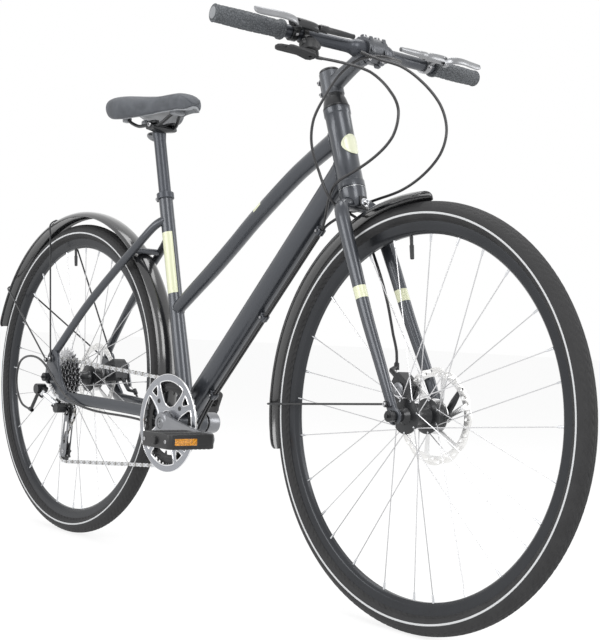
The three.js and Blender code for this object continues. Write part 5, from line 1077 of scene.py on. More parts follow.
def gripSolid(side):
    origin, out, ahead, up = handFrame(side)
    start = bar["end"] + 3 - grip["length"]
    turns = [2 * math.pi * j / grip["count"] for j in range(grip["count"])]
    rings = [ringAt(origin + out * start, ahead, up, grip["bore"], grip["count"])]
    for k in range(grip["steps"] + 1):
        d = grip["length"] * k / grip["steps"]
        relief = 0.0
        if d < 6:
            base = grip["flange"] - 0.9 * max(0, (1.5 - d) / 1.5)
        elif d < 8:
            base = grip["flange"] - 1.9 * (d - 6) / 2
        elif d > grip["domeAt"]:
            base = 15.2 * math.sqrt(max(0.05, 1 - ((d - grip["domeAt"]) / 4.2) ** 2))
        else:
            base = 14.6 + 0.45 * math.cos((d - 70) / 60 * math.pi)
            relief = 0.32 * min(1.0, (d - 8) / 4, (grip["domeAt"] - d) / 4)
        ring = []
        for turn in turns:
            wave = math.sin(turn * 12 + math.sin(d * 0.42) * 1.6)
            radius = base + (relief if wave > 0.1 else -relief)
            ring.append(origin + out * (start + d) + (ahead * math.cos(turn) + up * math.sin(turn)) * radius)
        rings.append(ring)
    return loft(rings)


hands = ((-1, "right"), (1, "left"))
for side, name in hands:
    addSteered(name + "_grip_rubber", gripSolid(side), "grip", name + "_grip")
    plug = rod(atHand(side, bar["end"] + 1.2), atHand(side, bar["end"] + 3.4), 10.4, 9.6, 32, 0.8)
    addSteered(name + "_bar_plug", plug, "shell", slot="black_plastic")


def bladeSolid(side):
    path = [(35, 170, 0.9), (45, 182, 1), (49, 205, 1), (47, 232, 1), (46, 252, 0.95), (48, 260, 0.6)]
    stations = [(atHand(side, out, ahead, -8), 6.5 * share, 2.3 * share + 0.4) for ahead, out, share in path]
    return tube(stations, handFrame(side)[3], 24, 8, 2.4)


leverAt = {"pivot": (170, 35), "clamp": 156}  # the pivot along the bar and ahead of it, the clamp along it


def leverBodySolid(side):
    _, out, ahead, up = handFrame(side)
    stations = [(122, 27, -2, 6.2, 5.0), (136, 30, -2, 7.6, 6.0), (158, 31, -2, 8.4, 6.4), (176, 32, -3, 8.2, 6.0),
                (182, 32.5, -4, 6.0, 4.4)]
    body = tube([(atHand(side, *place), wide, deep) for *place, wide, deep in stations], up, 28, 8, 2.6)
    band = turned(sleeve(11.25, 14.4, -6, 6, 0.5, 0.6), atHand(side, leverAt["clamp"]), out, 40, True)
    neck = block((16, 11, 12), atHand(side, leverAt["clamp"], 19.5, -1), axesOf(ahead, out, up), 2.5)
    spans = [[atHand(side, *leverAt["pivot"], -8 + s * reach) for reach in (5.0, 8.2)] for s in (-1, 1)]
    ears = [rod(start, end, 6.2, None, 24, 1.0) for start, end in spans]
    bootStart = atHand(side, 122, 31, -2)
    boot = turned([(5.4, -2), (6.5, 1), (6.4, 14), (5.4, 17), (5.2, 40), (4.8, 52), (4.2, 60), (4.2, 69), (3.2, 70)],
                  bootStart, atHand(side, 52, 31, -2) - bootStart, 24)
    return joined(body, band, neck, *ears, boot)


for side, name in hands:
    # Both perches are one alloy: the left one is painted as lit silver and the right one as shaded black, which is
    # painted light and shade.
    perchLightAndShade, slotName = ("black", "black_metal") if side < 0 else ("silverDull", "silver_metal")
    addPiece(
        name + "_lever_blade", onSteering(bladeSolid(side)), name + "_brake_lever_body", "silverDull",
        name + "_brake_lever", slot="silver_metal"
    )
    addSteered(name + "_lever_perch", leverBodySolid(side), perchLightAndShade, name + "_lever_body", slot=slotName)
    up = handFrame(side)[3]
    pin = bolt(atHand(side, *leverAt["pivot"], 0.2), up, 3.2, 1.6)
    clampScrew = bolt(atHand(side, leverAt["clamp"], 12, -9.5), -up, 2.8, 2.2)
    addSteered(name + "_lever_screws", joined(pin, clampScrew), "steel")


def shifterSolid():
    _, out, ahead, up = handFrame(-1)
    pod = turned([(0.5, -10), (12, -10), (14.8, -8.6), (15.5, -6), (15.5, 6), (14.6, 8.8), (12, 10), (0.5, 10)],
                 atHand(-1, 136, 12, -29), up, 40)
    neck = [(136, 12, -21, 12, 9), (136, 8, -15, 9.5, 7.5), (136, 3, -10, 8, 5)]
    hood = [(152, 14, -26, 6, 5), (140, 15, -26, 9, 8.5), (124, 14, -26, 8, 8), (116, 13, -26, 5.2, 5.2)]
    neck, hood = ([(atHand(-1, *place), wide, deep) for *place, wide, deep in part] for part in (neck, hood))
    band = turned(sleeve(11.25, 14.2, -4.5, 4.5), atHand(-1, 136), out, 36, True)
    return joined(pod, tube(neck, ahead, 28, 6, 2.6), band, tube(hood, ahead, 28, 8, 2.5))


addSteered("shifter_pod", shifterSolid(), "plastic", "shifter_body")
barrelEnd = at(381, -116, 930)
barrelStart = fromSteering(atHand(-1, 124, 13, -26))
knurl = turned([(3.0, 0), (4.4, 0.6), (4.4, 7), (3.4, 7.6), (3.4, 9), (4.2, 9.6), (4.2, 12.4), (3.0, 13)],
               barrelEnd - (barrelEnd - barrelStart).normalized() * 12, barrelEnd - barrelStart, 14)
addPiece("shifter_barrel", knurl, "steering_body", "plastic")
print("steering made")


# Mudguards

fender = {"wall": 1.4, "tip": 3.0, "wire": 1.9}  # the tips narrow over the last few degrees
fenders = {
    "rear": {"axle": rearAxle, "crown": 377.0, "turns": (-10.0, 163.4), "body": "frame_body"},
    "front": {"axle": frontAxle, "crown": 365.0, "turns": (91.0, 194.0), "body": "steering_body"},
}


def fenderSolid(part):
    first, last = part["turns"]
    steps = int((last - first) * 1.5)
    half = [(-24, -12), (-20.5, -6.6), (-13, -2), (-6, -0.45), (0, 0)]
    section = spline([Vector(p) for p in half + [(-y, drop) for y, drop in reversed(half[:-1])]], 4)
    rings = []
    for i in range(steps + 1):
        turn = first + (last - first) * i / steps
        nearEnd = min(turn - first, last - turn)
        share = 1.0
        if nearEnd < fender["tip"]:
            share = 0.62 + 0.38 * math.sqrt(max(0.0, 1 - (1 - nearEnd / fender["tip"]) ** 2))
        spots = [(part["crown"] + p.y * share, turn, p.x * share) for p in section]
        outer = [around(part["axle"], *spot) for spot in spots]
        inner = [around(part["axle"], radius - fender["wall"], turn, y * 0.965) for radius, _, y in reversed(spots)]
        rings.append(outer + inner)
    return loft(rings)


for name, part in fenders.items():
    addPiece(name + "_mudguard", fenderSolid(part), part["body"], "gloss", name + "_fender", 45)
    beads = []
    for side in sides:
        first, last = part["turns"]
        turns = [first + 2.5 + (last - first - 5) * k / 60 for k in range(61)]
        beads.append(wire([around(part["axle"], part["crown"] - 12.3, t, side * 23.2) for t in turns], 1.15, 8, 20))
    addPiece(name + "_mudguard_beads", joined(*beads), part["body"], "gloss")


def staySolid(axle, crown, eye, face, turn):
    out = crown + 2.2
    y = face + 2.3
    start = at(eye[0], y, eye[1])
    target = around(axle, out - 12, turn, 26.5)
    leave = start + (target - start).normalized() * 14
    half = [start, leave, start.lerp(target, 0.5), start.lerp(target, 0.93), target]
    half += [around(axle, out - 2, turn, 14.9), around(axle, out, turn, 5)]
    bent = wire(half + [at(p.x, -p.y, p.z) for p in reversed(half)], fender["wire"], 12, 5)
    eyes = [disc(start.x, start.z, 5.2, side * y - 2, side * y + 2, 24, 0.8) for side in sides]
    return joined(bent, *eyes), [at(start.x, side * (y + 1.8), start.z) for side in sides]


forkEye = fromSteering(at(44, 0, -393))
stayParts = [  # mudguard, eye on the frame or fork, its outer face, angle round the wheel, CAD node
    ("rear_stay_upper", "rear", (-524, 390), 78.0, 108, "rear_fender_stay_upper"),
    ("rear_stay_lower", "rear", (-544, 386), 78.0, 147, "rear_fender_stay_lower"),
    ("front_stay", "front", (forkEye.x, forkEye.z), 60.0, 181, "front_fender_stay"),
]
for name, end, eye, face, turn, node in stayParts:
    axle, crown, body = (fenders[end][key] for key in ("axle", "crown", "body"))
    solid, heads = staySolid(axle, crown, eye, face, turn)
    addPiece(name + "_wire", solid, body, "black", node)
    bolts = [bolt(head, at(0, math.copysign(1, head.y), 0), 3.6, 2.6) for head in heads]
    clamp = block((9, 9, 3.0), zero, None, 0.9)
    outwards = around(zero, 1, turn)
    turnAxes = axesOf(outwards.cross(toLeft), toLeft, outwards)
    clamps = [moved(clamp, Matrix.Translation(around(axle, crown + 1.4, turn, y)) @ turnAxes.to_4x4()) for y in (-9, 9)]
    addPiece(name + "_screws", joined(*bolts), body, "steel")
    addPiece(name + "_clamps", joined(*clamps), body, "plastic")
crownTab = block((3.0, 17, 24), steer(-30, 22.5), axesOf(steerAhead, toLeft, steerUp), 1.4)
crownWasher = turned([(0.4, 0), (7.6, 0), (8.0, 0.5), (8.0, 1.2), (0.4, 1.6)], steer(-31, 24), steerAhead, 28)
crownBolt = bolt(steer(-31, 25.4), steerAhead, 5.2, 5.5)
addPiece("mudguard_tab", crownTab, "steering_body", "black")
addPiece("crown_bolt", joined(crownWasher, crownBolt), "steering_body", "silver")
print("mudguards made")


# Drivetrain

chain = {"pitch": 12.7, "line": -43.3, "guide": (-492, 274), "tension": (-500.28, 185.788), "ring": 42, "cog": 21,
         "pulley": 11, "cogGap": 4.8}
cogTeeth = (11, 13, 15, 18, 21, 24, 28, 32)
bracketCentre = (bracketAt.x, bracketAt.z)
rearCentre = (rearAxle.x, rearAxle.z)


def pitchRadius(teeth):
    return chain["pitch"] / 2 / math.sin(math.pi / teeth)


# The chain's pins, in order, and for each wheel the angle at which the first of them meets it.
def chainLoop():
    pulley = chain["pulley"]
    wheels = [(bracketCentre, chain["ring"], -1), (chain["tension"], pulley, -1), (chain["guide"], pulley, 1),
              (rearCentre, chain["cog"], -1)]
    runs = []
    for i, (centre, teeth, spin) in enumerate(wheels):
        there, thereTeeth, thereSpin = wheels[(i + 1) % 4]
        dx, dz = there[0] - centre[0], there[1] - centre[1]
        span = math.hypot(dx, dz)
        offset = thereSpin * pitchRadius(thereTeeth) - spin * pitchRadius(teeth)
        run = math.sqrt(span * span - offset * offset)
        runs.append((math.atan2(dz, dx) - math.atan2(offset, run), run))
    parts = []
    for i, (centre, teeth, spin) in enumerate(wheels):
        arrive = runs[i - 1][0] - spin * math.pi / 2
        leave = runs[i][0] - spin * math.pi / 2
        swept = (spin * (leave - arrive)) % (2 * math.pi)
        parts.append(("arc", centre, teeth, spin, arrive, swept * teeth / (2 * math.pi)))
        start = polar(pitchRadius(teeth), math.degrees(leave), *centre)
        parts.append(("run", start, runs[i][0], runs[i][1], 0, runs[i][1] / chain["pitch"]))
    total = sum(part[5] for part in parts)
    count = 2 * round(total / 2)
    pins, phases = [], {}
    for k in range(count):
        u = total * k / count
        for part in parts:
            if u < part[5]:
                break
            u -= part[5]
        if part[0] == "arc":
            angle = math.degrees(part[4] + part[3] * u * 2 * math.pi / part[2])
            phases.setdefault((part[1], part[2]), angle)
            pins.append(polar(pitchRadius(part[2]), angle, *part[1]))
        else:
            pins.append(polar(u * chain["pitch"], math.degrees(part[2]), *part[1]))
    return pins, phases


# The two ends of a link's round-ended, waisted plate.
def linkPlate(start, end, low, high, radius, waist):
    heading = math.degrees(math.atan2(end[1] - start[1], end[0] - start[0]))
    middle = ((start[0] + end[0]) / 2, (start[1] + end[1]) / 2)
    outline = [polar(radius, heading + 55 + k * 31.25, *start) for k in range(9)]
    outline += [polar(waist, heading - 90, *middle)]
    outline += [polar(radius, heading - 125 + k * 31.25, *end) for k in range(9)]
    outline += [polar(waist, heading + 90, *middle)]
    return [at(x, low, z) for x, z in outline], [at(x, high, z) for x, z in outline]


link = {"inner": (1.35, 2.35), "outer": (2.45, 3.35), "plate": 4.0, "waist": 2.9, "roller": 3.8, "pin": 1.8}


def chainSolid():
    pins, phases = chainLoop()
    plates, outerPlates, rollers = [], [], []
    line = chain["line"]
    for i, start in enumerate(pins):
        end = pins[(i + 1) % len(pins)]
        inner = i % 2  # plates alternate between the inner and the outer pair
        low, high = link["inner"] if inner else link["outer"]
        for side in sides:
            first, second = linkPlate(start, end, line + side * low, line + side * high, link["plate"], link["waist"])
            (plates if inner else outerPlates).append(loft([first, second]))
        rollers.append(disc(*start, link["roller"], line - 1.3, line + 1.3, 12, 0.2))
        rollers.append(disc(*start, link["pin"], line - 3.9, line + 3.9, 10, 0.3))
    return joined(*plates), joined(*outerPlates), joined(*rollers), phases


# A tooth's shape: places as shares of a pitch, and heights over the pitch circle.
toothShape = [(-0.5, 2.7), (-0.43, 2.35), (-0.36, 0.6), (-0.29, -2.0), (-0.2, -3.3), (0, -3.95), (0.2, -3.3),
              (0.29, -2.0), (0.36, 0.6), (0.43, 2.35)]
pulleyShape = [(-0.5, 1.6), (-0.36, 1.0), (-0.26, -1.6), (0, -3.2), (0.26, -1.6), (0.36, 1.0)]


def toothed(centre, teeth, phase, shape=toothShape):
    radius = pitchRadius(teeth)
    return [
        polar(radius + height, phase + (k + share) * 360 / teeth, *centre) for k in range(teeth)
        for share, height in shape
    ]


chainPlates, outerPlates, chainRollers, phases = chainSolid()
addPiece("chain_outer_plates", outerPlates, "frame_body", "silver", slot="chain_steel")
addPiece("chain_plates", chainPlates, "frame_body", "chain", "chain")
addPiece("chain_rollers", chainRollers, "frame_body", "chain")

cogs = []
for i, teeth in enumerate(cogTeeth):
    y = chain["line"] + (i - 4) * chain["cogGap"]
    phase = phases[(rearCentre, chain["cog"])] if teeth == chain["cog"] else i * 7.0
    holes = [circle(17.0, 36, *rearCentre)]
    if teeth >= 21:
        spread = pitchRadius(teeth) - 13
        count = 6 if teeth < 28 else 8
        size = max(min(5.5, (spread - 20) * 0.55), 2.2)
        spots = [polar((spread + 20) / 2 + 2, 360 * k / count + i * 9, *rearCentre) for k in range(count)]
        holes += [circle(size, 16, *spot) for spot in spots]
    cogs.append(plate(toothed(rearCentre, teeth, phase), y - 0.9, y + 0.9, holes, 0.25))
cogSpacers = [
    turned([(16.9, -1.45), (20.5, -1.45), (20.5, 1.45), (16.9, 1.45)],
           rearAxle + toLeft * (chain["line"] + (i - 3.5) * chain["cogGap"]), toLeft, 40, True) for i in range(7)
]
addPiece("cassette_cogs", joined(*cogs), "cassette_body", "steel", "cassette")
addPiece("cassette_spacers", joined(*cogSpacers), "cassette_body", "plastic")
lockring = turned([(11, -64.4), (15, -64.4), (17.6, -63.9), (17.6, -62.4), (11, -62.4)], rearAxle, toLeft, 40, True)
addPiece("cassette_lockring", lockring, "cassette_body", "steel")


guard = {"radius": 97.0, "low": -51.0, "high": -48.0, "start": 82.0, "arms": 4, "bolts": 52.0}


def onBracket(radius, turn):
    return polar(radius, turn, *bracketCentre)


def guardHoles():
    holes = [circle(24, 40, *bracketCentre)]
    for i in range(guard["arms"]):
        middle = guard["start"] + 90 * i
        outer = [onBracket(83.5, middle - 31 + k * 6.2) for k in range(11)]
        inner = [onBracket(radius, middle + turn) for radius, turn in ((44, 27), (33, 13), (33, -13), (44, -27))]
        holes.append(softened(outer + inner, True))
        slot = [onBracket(82, middle + 45 + k * 2.7) for k in range(-3, 4)] + [onBracket(58, middle + 45)]
        holes.append(softened(slot, True))
    return holes


# Faces that don't look sideways get a second finish.
def twoTone(piece, look, least):
    piece.data.materials.append(looks[look])
    for face in piece.data.polygons:
        if abs(face.normal.y) < least:
            face.material_index = 1


guardSolid = plate(circle(guard["radius"], 144, *bracketCentre), guard["low"], guard["high"], guardHoles(), 1.15)
twoTone(addPiece("guard_disc", guardSolid, "crankset", "guard", "chain_guard", 25), "edge", 0.97)
lips = [wire([at(x, -50.7, z) for x, z in hole + hole[:1]], 1.25, 8, 60) for hole in guardHoles()[1:]]
rimLine = circle(guard["radius"] - 0.8, 120, *bracketCentre)
lips.append(wire([at(x, -50.2, z) for x, z in rimLine + rimLine[:1]], 0.9, 8, 60))
addPiece("guard_lips", joined(*lips), "crankset", "edge", slot="guard_alloy")
tabs = (43, 44, 45, 46, 47)  # in degrees from each quarter: where the ring is bolted on
ringHole = [onBracket(56 if k * 2 % 90 in tabs else 63, k * 2 + 37) for k in range(180)]
ringTeeth = toothed(bracketCentre, chain["ring"], phases[(bracketCentre, chain["ring"])])
ringPlate = plate(ringTeeth, -44.4, -42.2, [ringHole], 0.3)
addPiece("ring_teeth", ringPlate, "crankset", "ring", "chainring")

crank = {"turn": -5.4, "length": 170.0}
crankTurn = radians(crank["turn"])
crankAlong = at(math.cos(crankTurn), 0, math.sin(crankTurn))
crankDeep = at(-math.sin(crankTurn), 0, math.cos(crankTurn))


# The arm's outer face has a long shallow channel that narrows towards the pedal.
def crankArm():
    profile = [
        (-8, 59.5, 6.5, 17), (0, 59.5, 6.5, 18.6), (24, 60.5, 6.5, 16.4), (42, 62.0, 6.5, 14.8),
        (85, 66.2, 6.5, 12.4), (130, 70.2, 6.8, 11.2), (162, 72.6, 7.0, 11), (170, 73.0, 7.0, 10.8)
    ]
    stations = spline([Vector(p) for p in profile], 8)
    rings = []
    for along, y, wide, deep in stations:
        ring = []
        channel = 1.6 * max(0.0, min(1.0, (along - 22) / 14)) * max(0.0, min(1.0, (122 - along) / 60))
        for j in range(48):
            turn = 2 * math.pi * (j + 0.5) / 48
            c, s = math.cos(turn), math.sin(turn)
            across = rounder(c, 2 / 0.62) * wide
            height = rounder(s, 2 / 0.62) * deep
            if c > 0.3:
                across -= channel * max(0.0, 1 - (height / (deep * 0.62)) ** 2)
            ring.append(bracketAt + crankAlong * along + crankDeep * height - at(0, y + across, 0))
        rings.append(ring)
    return loft(rings)


def crankSide():
    eye = bracketAt + crankAlong * crank["length"]
    hub = turned(
        [(8.6, 39), (20, 39), (21, 40), (21, 63), (20, 65.6), (17.5, 67), (11.5, 67), (10.8, 64.5), (8.6, 64.5)],
        bracketAt, -toLeft, 48, True
    )
    end = turned([(6.2, 66), (12.6, 66), (13.5, 67), (13.5, 79), (12.6, 80), (6.2, 80)], eye, -toLeft, 40, True)
    return joined(crankArm(), hub, end)


spider = []
armHalf = [(19, 42), (30, 21), (52, 10), (60, 7.5), (62.5, 4)]
for i in range(guard["arms"]):
    turn = guard["start"] + 90 * (i + 0.5)
    outline = [onBracket(radius, turn - half) for radius, half in armHalf]
    outline += [onBracket(radius, turn + half) for radius, half in reversed(armHalf)]
    spider.append(plate(outline, -47.7, -44.7, (), 0.8))
rightCrank = joined(crankSide(), *spider)
addPiece("right_crank_arm", rightCrank, "crankset", "crank", "right_crank")
flip = Matrix.Translation(bracketAt) @ Matrix.Rotation(math.pi, 4, "Y") @ Matrix.Translation(-bracketAt)
leftCrank = moved(mirrored(crankSide()), flip)
addPiece("left_crank_arm", leftCrank, "crankset", "crank", "left_crank")
capProfile = [(0.4, 64.6), (10.4, 64.6), (10.6, 66.2), (9, 67.4), (4.4, 67.6), (3.8, 66.2), (0.4, 66.2)]
caps = [turned(capProfile, bracketAt, at(0, side, 0), 32) for side in sides]
addPiece("crank_bolts", joined(*caps), "crankset", "grey")
guardBolts = [
    bolt(around(bracketAt, guard["bolts"], guard["start"] + 90 * (i + 0.5), guard["low"]), -toLeft, 4.6, 1.2)
    for i in range(guard["arms"])
]
addPiece("guard_bolts", joined(*guardBolts), "crankset", "black")

pedals = {
    "right": {"centre": bracketAt + crankAlong * crank["length"], "side": -1, "turn": 0.0},
    "left": {"centre": bracketAt - crankAlong * crank["length"], "side": 1, "turn": -66.0},
}


def rounded(x0, x1, y0, y1, radius):
    corners = [(x1 - radius, y1 - radius, 0), (x0 + radius, y1 - radius, 90), (x0 + radius, y0 + radius, 180),
               (x1 - radius, y0 + radius, 270)]
    return [polar(radius, start + k * 15, x, y) for x, y, start in corners for k in range(7)]


def pedalSolids():
    frameShape = plate(rounded(-46, 46, 88, 190, 9), -13.5, 13.5,
                       [rounded(12.5, 29, 99, 180, 4), rounded(-29, -12.5, 99, 180, 4)], 2.2, at)
    barrel = turned([(6.4, 88.3), (9.5, 88.3), (9.5, 189), (6.4, 189)], zero, toLeft, 32, True)
    spots = [at(x, 101 + k * 9.6, z) for z in (-13.3, 13.3) for x in (-37.5, 37.5) for k in range(9)]
    treads = [block((13, 5.4, 1.4), spot, None, 0.6) for spot in spots]
    cap = turned([(0.3, 196), (6.5, 196), (8, 194.6), (8, 189.6), (0.3, 189.6)], zero, toLeft, 28)
    screws = joined(*[bolt(at(x, 190.2, 0), toLeft, 3.4, 1.4) for x in (-34, 34)])
    reflectors = joined(*[block((2.6, 48, 12.5), at(x, 154, 0), None, 0.8) for x in (-46.2, 46.2)])
    frames = joined(*[block((1.8, 54, 18), at(x, 154, 0), None, 0.8) for x in (-45.6, 45.6)])
    return joined(frameShape, barrel), joined(*treads, cap, frames), screws, reflectors


for name, part in pedals.items():
    matrix = (Matrix.Translation(part["centre"]) @ Matrix.Rotation(radians(part["turn"]), 4, "Y")
              @ Matrix.Scale(part["side"], 4, (0, 1, 0)))
    shell, rubber, screws, reflectors = [moved(solid, matrix) for solid in pedalSolids()]
    body = name + "_pedal_body"
    addPiece(name + "_pedal_frame", shell, body, "pedal", name + "_pedal")
    addPiece(name + "_pedal_treads", rubber, body, "pedal")
    addPiece(name + "_pedal_screws", screws, body, "steel")
    addPiece(name + "_pedal_reflectors", reflectors, body, "amber", slot="pedal_plastic")
print("drivetrain made")


# Cables

# Under the down tube each cable runs through its clips, 14 mm to either side of each.
def clipPoints(side):
    y = side * clip["side"]
    return [tuple(onDownTube(place + step, clip["below"], y)) for place in clip["places"] for step in (-14, 14)]


cables = {  # the sheath's points and the bare wire's end
    "rear_brake_cable": (
        [(407, -42, 949), (424, -13, 939), (441, 18, 932), (463, 45, 910), (486, 72, 871), (495, 82, 828),
         (490, 74, 785), (464, 56, 746), (427, 46, 724), (385, 43, 714), (352, 35, 704),
         (322, 15, 685)] + clipPoints(1) + [
            (-60, 4, 284), (-84, 5, 254.5), (-110, 6, 254), (-150, 16, 260), (-221, 36, 279.5), (-334, 46, 283.5),
            (-375, 62, 288), (-401, 76, 307), (-418, 77.8, 325)], (-441, 77.75, 339)),
    "shift_cable": (
        [(381, -116, 930), (404, -85, 925), (435, -45, 912), (470, -30, 878), (493, -31, 843), (488, -36, 801),
         (452, -41, 769), (400, -41, 747), (352, -36, 731), (323, -25, 705)] + clipPoints(-1) + [
            (-60, -4, 284), (-84, -5, 254.5), (-110, -6, 254), (-150, -16, 260), (-221, -36, 279.5), (-334, -46, 283.5),
            (-398, -60, 290), (-440, -78, 307), (-482, -88, 340), (-524, -91, 374), (-560, -91, 389), (-608, -91, 391),
            (-645, -90, 377), (-662, -88, 345), (-657, -87, 310), (-632, -86, 281), (-590, -86, 272)], None),
    "front_brake_cable": (
        [(406, 52, 950), (418, 18, 948), (414, -14, 946), (397, -38, 938), (371, -54, 915), (345, -66, 874),
         (326, -70, 840), (320, -68, 806), (322, -62, 778), (326, -52, 752), (338, -40, 713), (344, -20, 693),
         (348, 8, 683), (364, 28, 664), (384, 31, 617), (404, 32, 578), (420, 38, 528), (424, 50, 478),
         (426, 58, 450), (426.5, 59.7, 424)], (425, 59.75, 393)),
}
for name, (points, wireEnd) in cables.items():
    path = [Vector(point) for point in points]
    first, last = path[0], path[-1]
    leave, arrive = (path[1] - first).normalized(), (last - path[-2]).normalized()
    ends = ((last - arrive * 8, last + arrive * 1.5), (first - leave, first + leave * 9))
    ferrules = [rod(start, end, 3.1, 2.9, 16, 0.4) for start, end in ends]
    sheath = joined(wire(path, 2.5, 14, 6), *ferrules)
    piece = addPiece(name + "_sheath", sheath, "steering_body", "cable", name)
    if wireEnd:
        body = "frame_body" if name.startswith("rear") else "steering_body"
        addPiece(name + "_inner", rod(last, Vector(wireEnd), 0.9, None, 10, 0.2), body, "steel")
    if name != "front_brake_cable":
        piece.parent = None
        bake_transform(piece)
print("cables made")


# Seat

# Stations are (x, half width, top, edge height); shapes are shares across and up, with a drop.
saddleStations = [
    (-375, 40, 946, 928), (-368, 64, 954, 915), (-345, 81, 959, 905), (-310, 82, 958, 901), (-270, 70, 953, 903),
    (-235, 48, 951, 908), (-200, 34, 953, 912), (-170, 28, 953, 913), (-150, 25, 948, 912), (-137, 20, 940, 912),
    (-131, 11, 930, 915)
]
shellShape = [(0.16, 0.46, 0), (0.55, 0.38, 0), (0.77, 0.11, 0), (0.72, 0.14, 4), (0.5, 0.37, 4.5), (0.12, 0.45, 4.5)]
cushionShape = [(0.16, 0.48), (0.52, 0.38), (0.70, 0.14), (0.80, 0.05), (0.91, 0.17), (0.98, 0.44), (0.93, 0.72),
                (0.72, 0.90), (0.41, 0.97), (0.13, 0.985)]
cushion = {"pressure": 3.0, "frames": 20, "voxel": 0.004, "cap": 0.0025, "stiffness": 18, "bending": 0.6}


def saddleRing(station, shape, steps):
    x, half, top, edge = station
    side = [at(x, -half * s[0], edge + (top - edge) * s[1] - (s[2] if len(s) > 2 else 0)) for s in shape]
    other = [at(p.x, -p.y, p.z) for p in reversed(side)]
    loop = side + other
    quads = [[loop[(i + k - 1) % len(loop)] for k in range(4)] for i in range(len(loop))]
    return [between(*quad, k / steps) for quad in quads for k in range(steps)]


smoothStations = [tuple(s) for s in spline([Vector(s) for s in saddleStations], 5)]


def saddleSolid(shape, steps):
    return loft([saddleRing(station, shape, steps) for station in smoothStations])


addPiece("saddle_base", saddleSolid(shellShape, 3), "seat_body", "shell", "saddle_shell", 50)


# The padded cover is made a little small and then swollen by Cloth, with its underside held.
def simulatedCushion():
    piece = cleaned("saddle_cushion", saddleSolid(cushionShape, 4))
    bpy.ops.object.select_all(action="DESELECT")
    bpy.context.view_layer.objects.active = piece
    piece.select_set(True)
    remesh = piece.modifiers.new("remesh", "REMESH")
    remesh.mode = "VOXEL"
    remesh.voxel_size = cushion["voxel"]
    bpy.ops.object.modifier_apply(modifier="remesh")
    start = [v.co.copy() for v in piece.data.vertices]
    held = piece.vertex_groups.new(name="held")
    for vertex in piece.data.vertices:
        if vertex.normal.z < -0.2:
            held.add([vertex.index], 1.0, "REPLACE")
    cloth = piece.modifiers.new("cloth", "CLOTH")
    settings = cloth.settings
    settings.quality = 6
    settings.mass = 0.3
    settings.tension_stiffness = settings.compression_stiffness = cushion["stiffness"]
    settings.bending_stiffness = cushion["bending"]
    settings.use_pressure = True
    settings.uniform_pressure_force = cushion["pressure"]
    settings.vertex_group_mass = "held"
    settings.effector_weights.gravity = 0
    cloth.collision_settings.use_collision = False
    for number in range(1, cushion["frames"] + 1):
        bpy.context.scene.frame_set(number)
    swollen = piece.evaluated_get(bpy.context.evaluated_depsgraph_get())
    places = [v.co.copy() for v in swollen.data.vertices]
    piece.modifiers.remove(cloth)
    bpy.context.scene.frame_set(1)
    for vertex, first, last in zip(piece.data.vertices, start, places):
        step = last - first
        if step.length > cushion["cap"]:
            step = step.normalized() * cushion["cap"]
        vertex.co = first + step
    piece.vertex_groups.clear()
    smooth = piece.modifiers.new("smooth", "SMOOTH")
    smooth.factor = 0.5
    smooth.iterations = 3
    finer = piece.modifiers.new("finer", "SUBSURF")
    finer.levels = finer.render_levels = 1
    bpy.ops.object.modifier_apply(modifier="smooth")
    bpy.ops.object.modifier_apply(modifier="finer")
    piece.data.polygons.foreach_set("use_smooth", [True] * len(piece.data.polygons))
    piece.data.materials.append(looks["saddle"])
    return piece


cushionPiece = simulatedCushion()
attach(cushionPiece, "seat_body")
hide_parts("saddle_cover")


def saddleLine(share, height, lift, radius):
    side = [at(x, -half * share, edge + (top - edge) * height + lift) for x, half, top, edge in smoothStations]
    loop = side + [at(p.x, -p.y, p.z) for p in reversed(side)]
    return wire(loop + [loop[0]], radius, 8, 4)


addPiece("saddle_seam", saddleLine(0.80, 0.80, 0.9, 0.55), "seat_body", "saddle", slot="saddle_fabric")

railPlaces = [
    (-348, 24, 915), (-332, 24, 905), (-304, 22, 894.5), (-280, 22, 893.5), (-250, 22, 891.5), (-230, 21, 891),
    (-212, 15, 902), (-196, 8, 915)
]
rails = joined(*[wire([at(x, side * y, z) for x, y, z in railPlaces], 3.6, 16, 4) for side in sides])
addPiece("saddle_rail_wires", rails, "seat_body", "black", "saddle_rails", slot="steel")
sockets = joined(*[block((17, 15, 12), at(-348, side * 24, 912), None, 3) for side in sides])
noseSocket = block((18, 28, 10), at(-194, 0, 915), None, 3)
addPiece("saddle_rail_sockets", joined(sockets, noseSocket), "seat_body", "shell")

post = {"bore": 11.4, "radius": 12.7, "low": 306.0, "high": 622.0}
postProfile = [
    (post["bore"], post["low"]), (12.5, post["low"]), (post["radius"], post["low"] + 1), (post["radius"], 596),
    (13.4, 604), (14.4, 612), (14.4, 620), (13, post["high"]), (4, post["high"])
]
postTube = turned(postProfile, bracketAt, seatAlong, 48)
clampX, railZ = -250, 893
cradlePlaces = [
    (-29, -6.0, 15, 4.4), (-18, -6.5, 16.5, 5.5), (0, -8, 16.5, 7.4), (18, -6.5, 16.5, 5.5), (29, -6.0, 15, 4.4)
]
cradle = tube([(at(clampX, y, railZ + up), wide, deep) for y, up, wide, deep in cradlePlaces], toFront, 32, 8, 3)
topClamps = joined(*[block((32, 13, 7), at(clampX, side * 22, railZ + 5.2), None, 2.4) for side in sides])
clampAxle = rod(at(clampX, -30.5, railZ - 0.5), at(clampX, 30.5, railZ - 0.5), 4.6)
addPiece("seatpost_tube", postTube, "seat_body", "post", "seatpost", slot="black_metal")
yokePlaces = [(-256, 871, 12, 8.5), (-270, 871.5, 13.5, 10), (-284, 875, 12, 8.5), (-292, 878, 8, 5.5)]
yoke = tube([(at(x, 0, z), wide, deep) for x, z, wide, deep in yokePlaces], count=28)
yokeBolt = rod(at(-283, 0, 874), at(-283, 0, 909), 2.6)
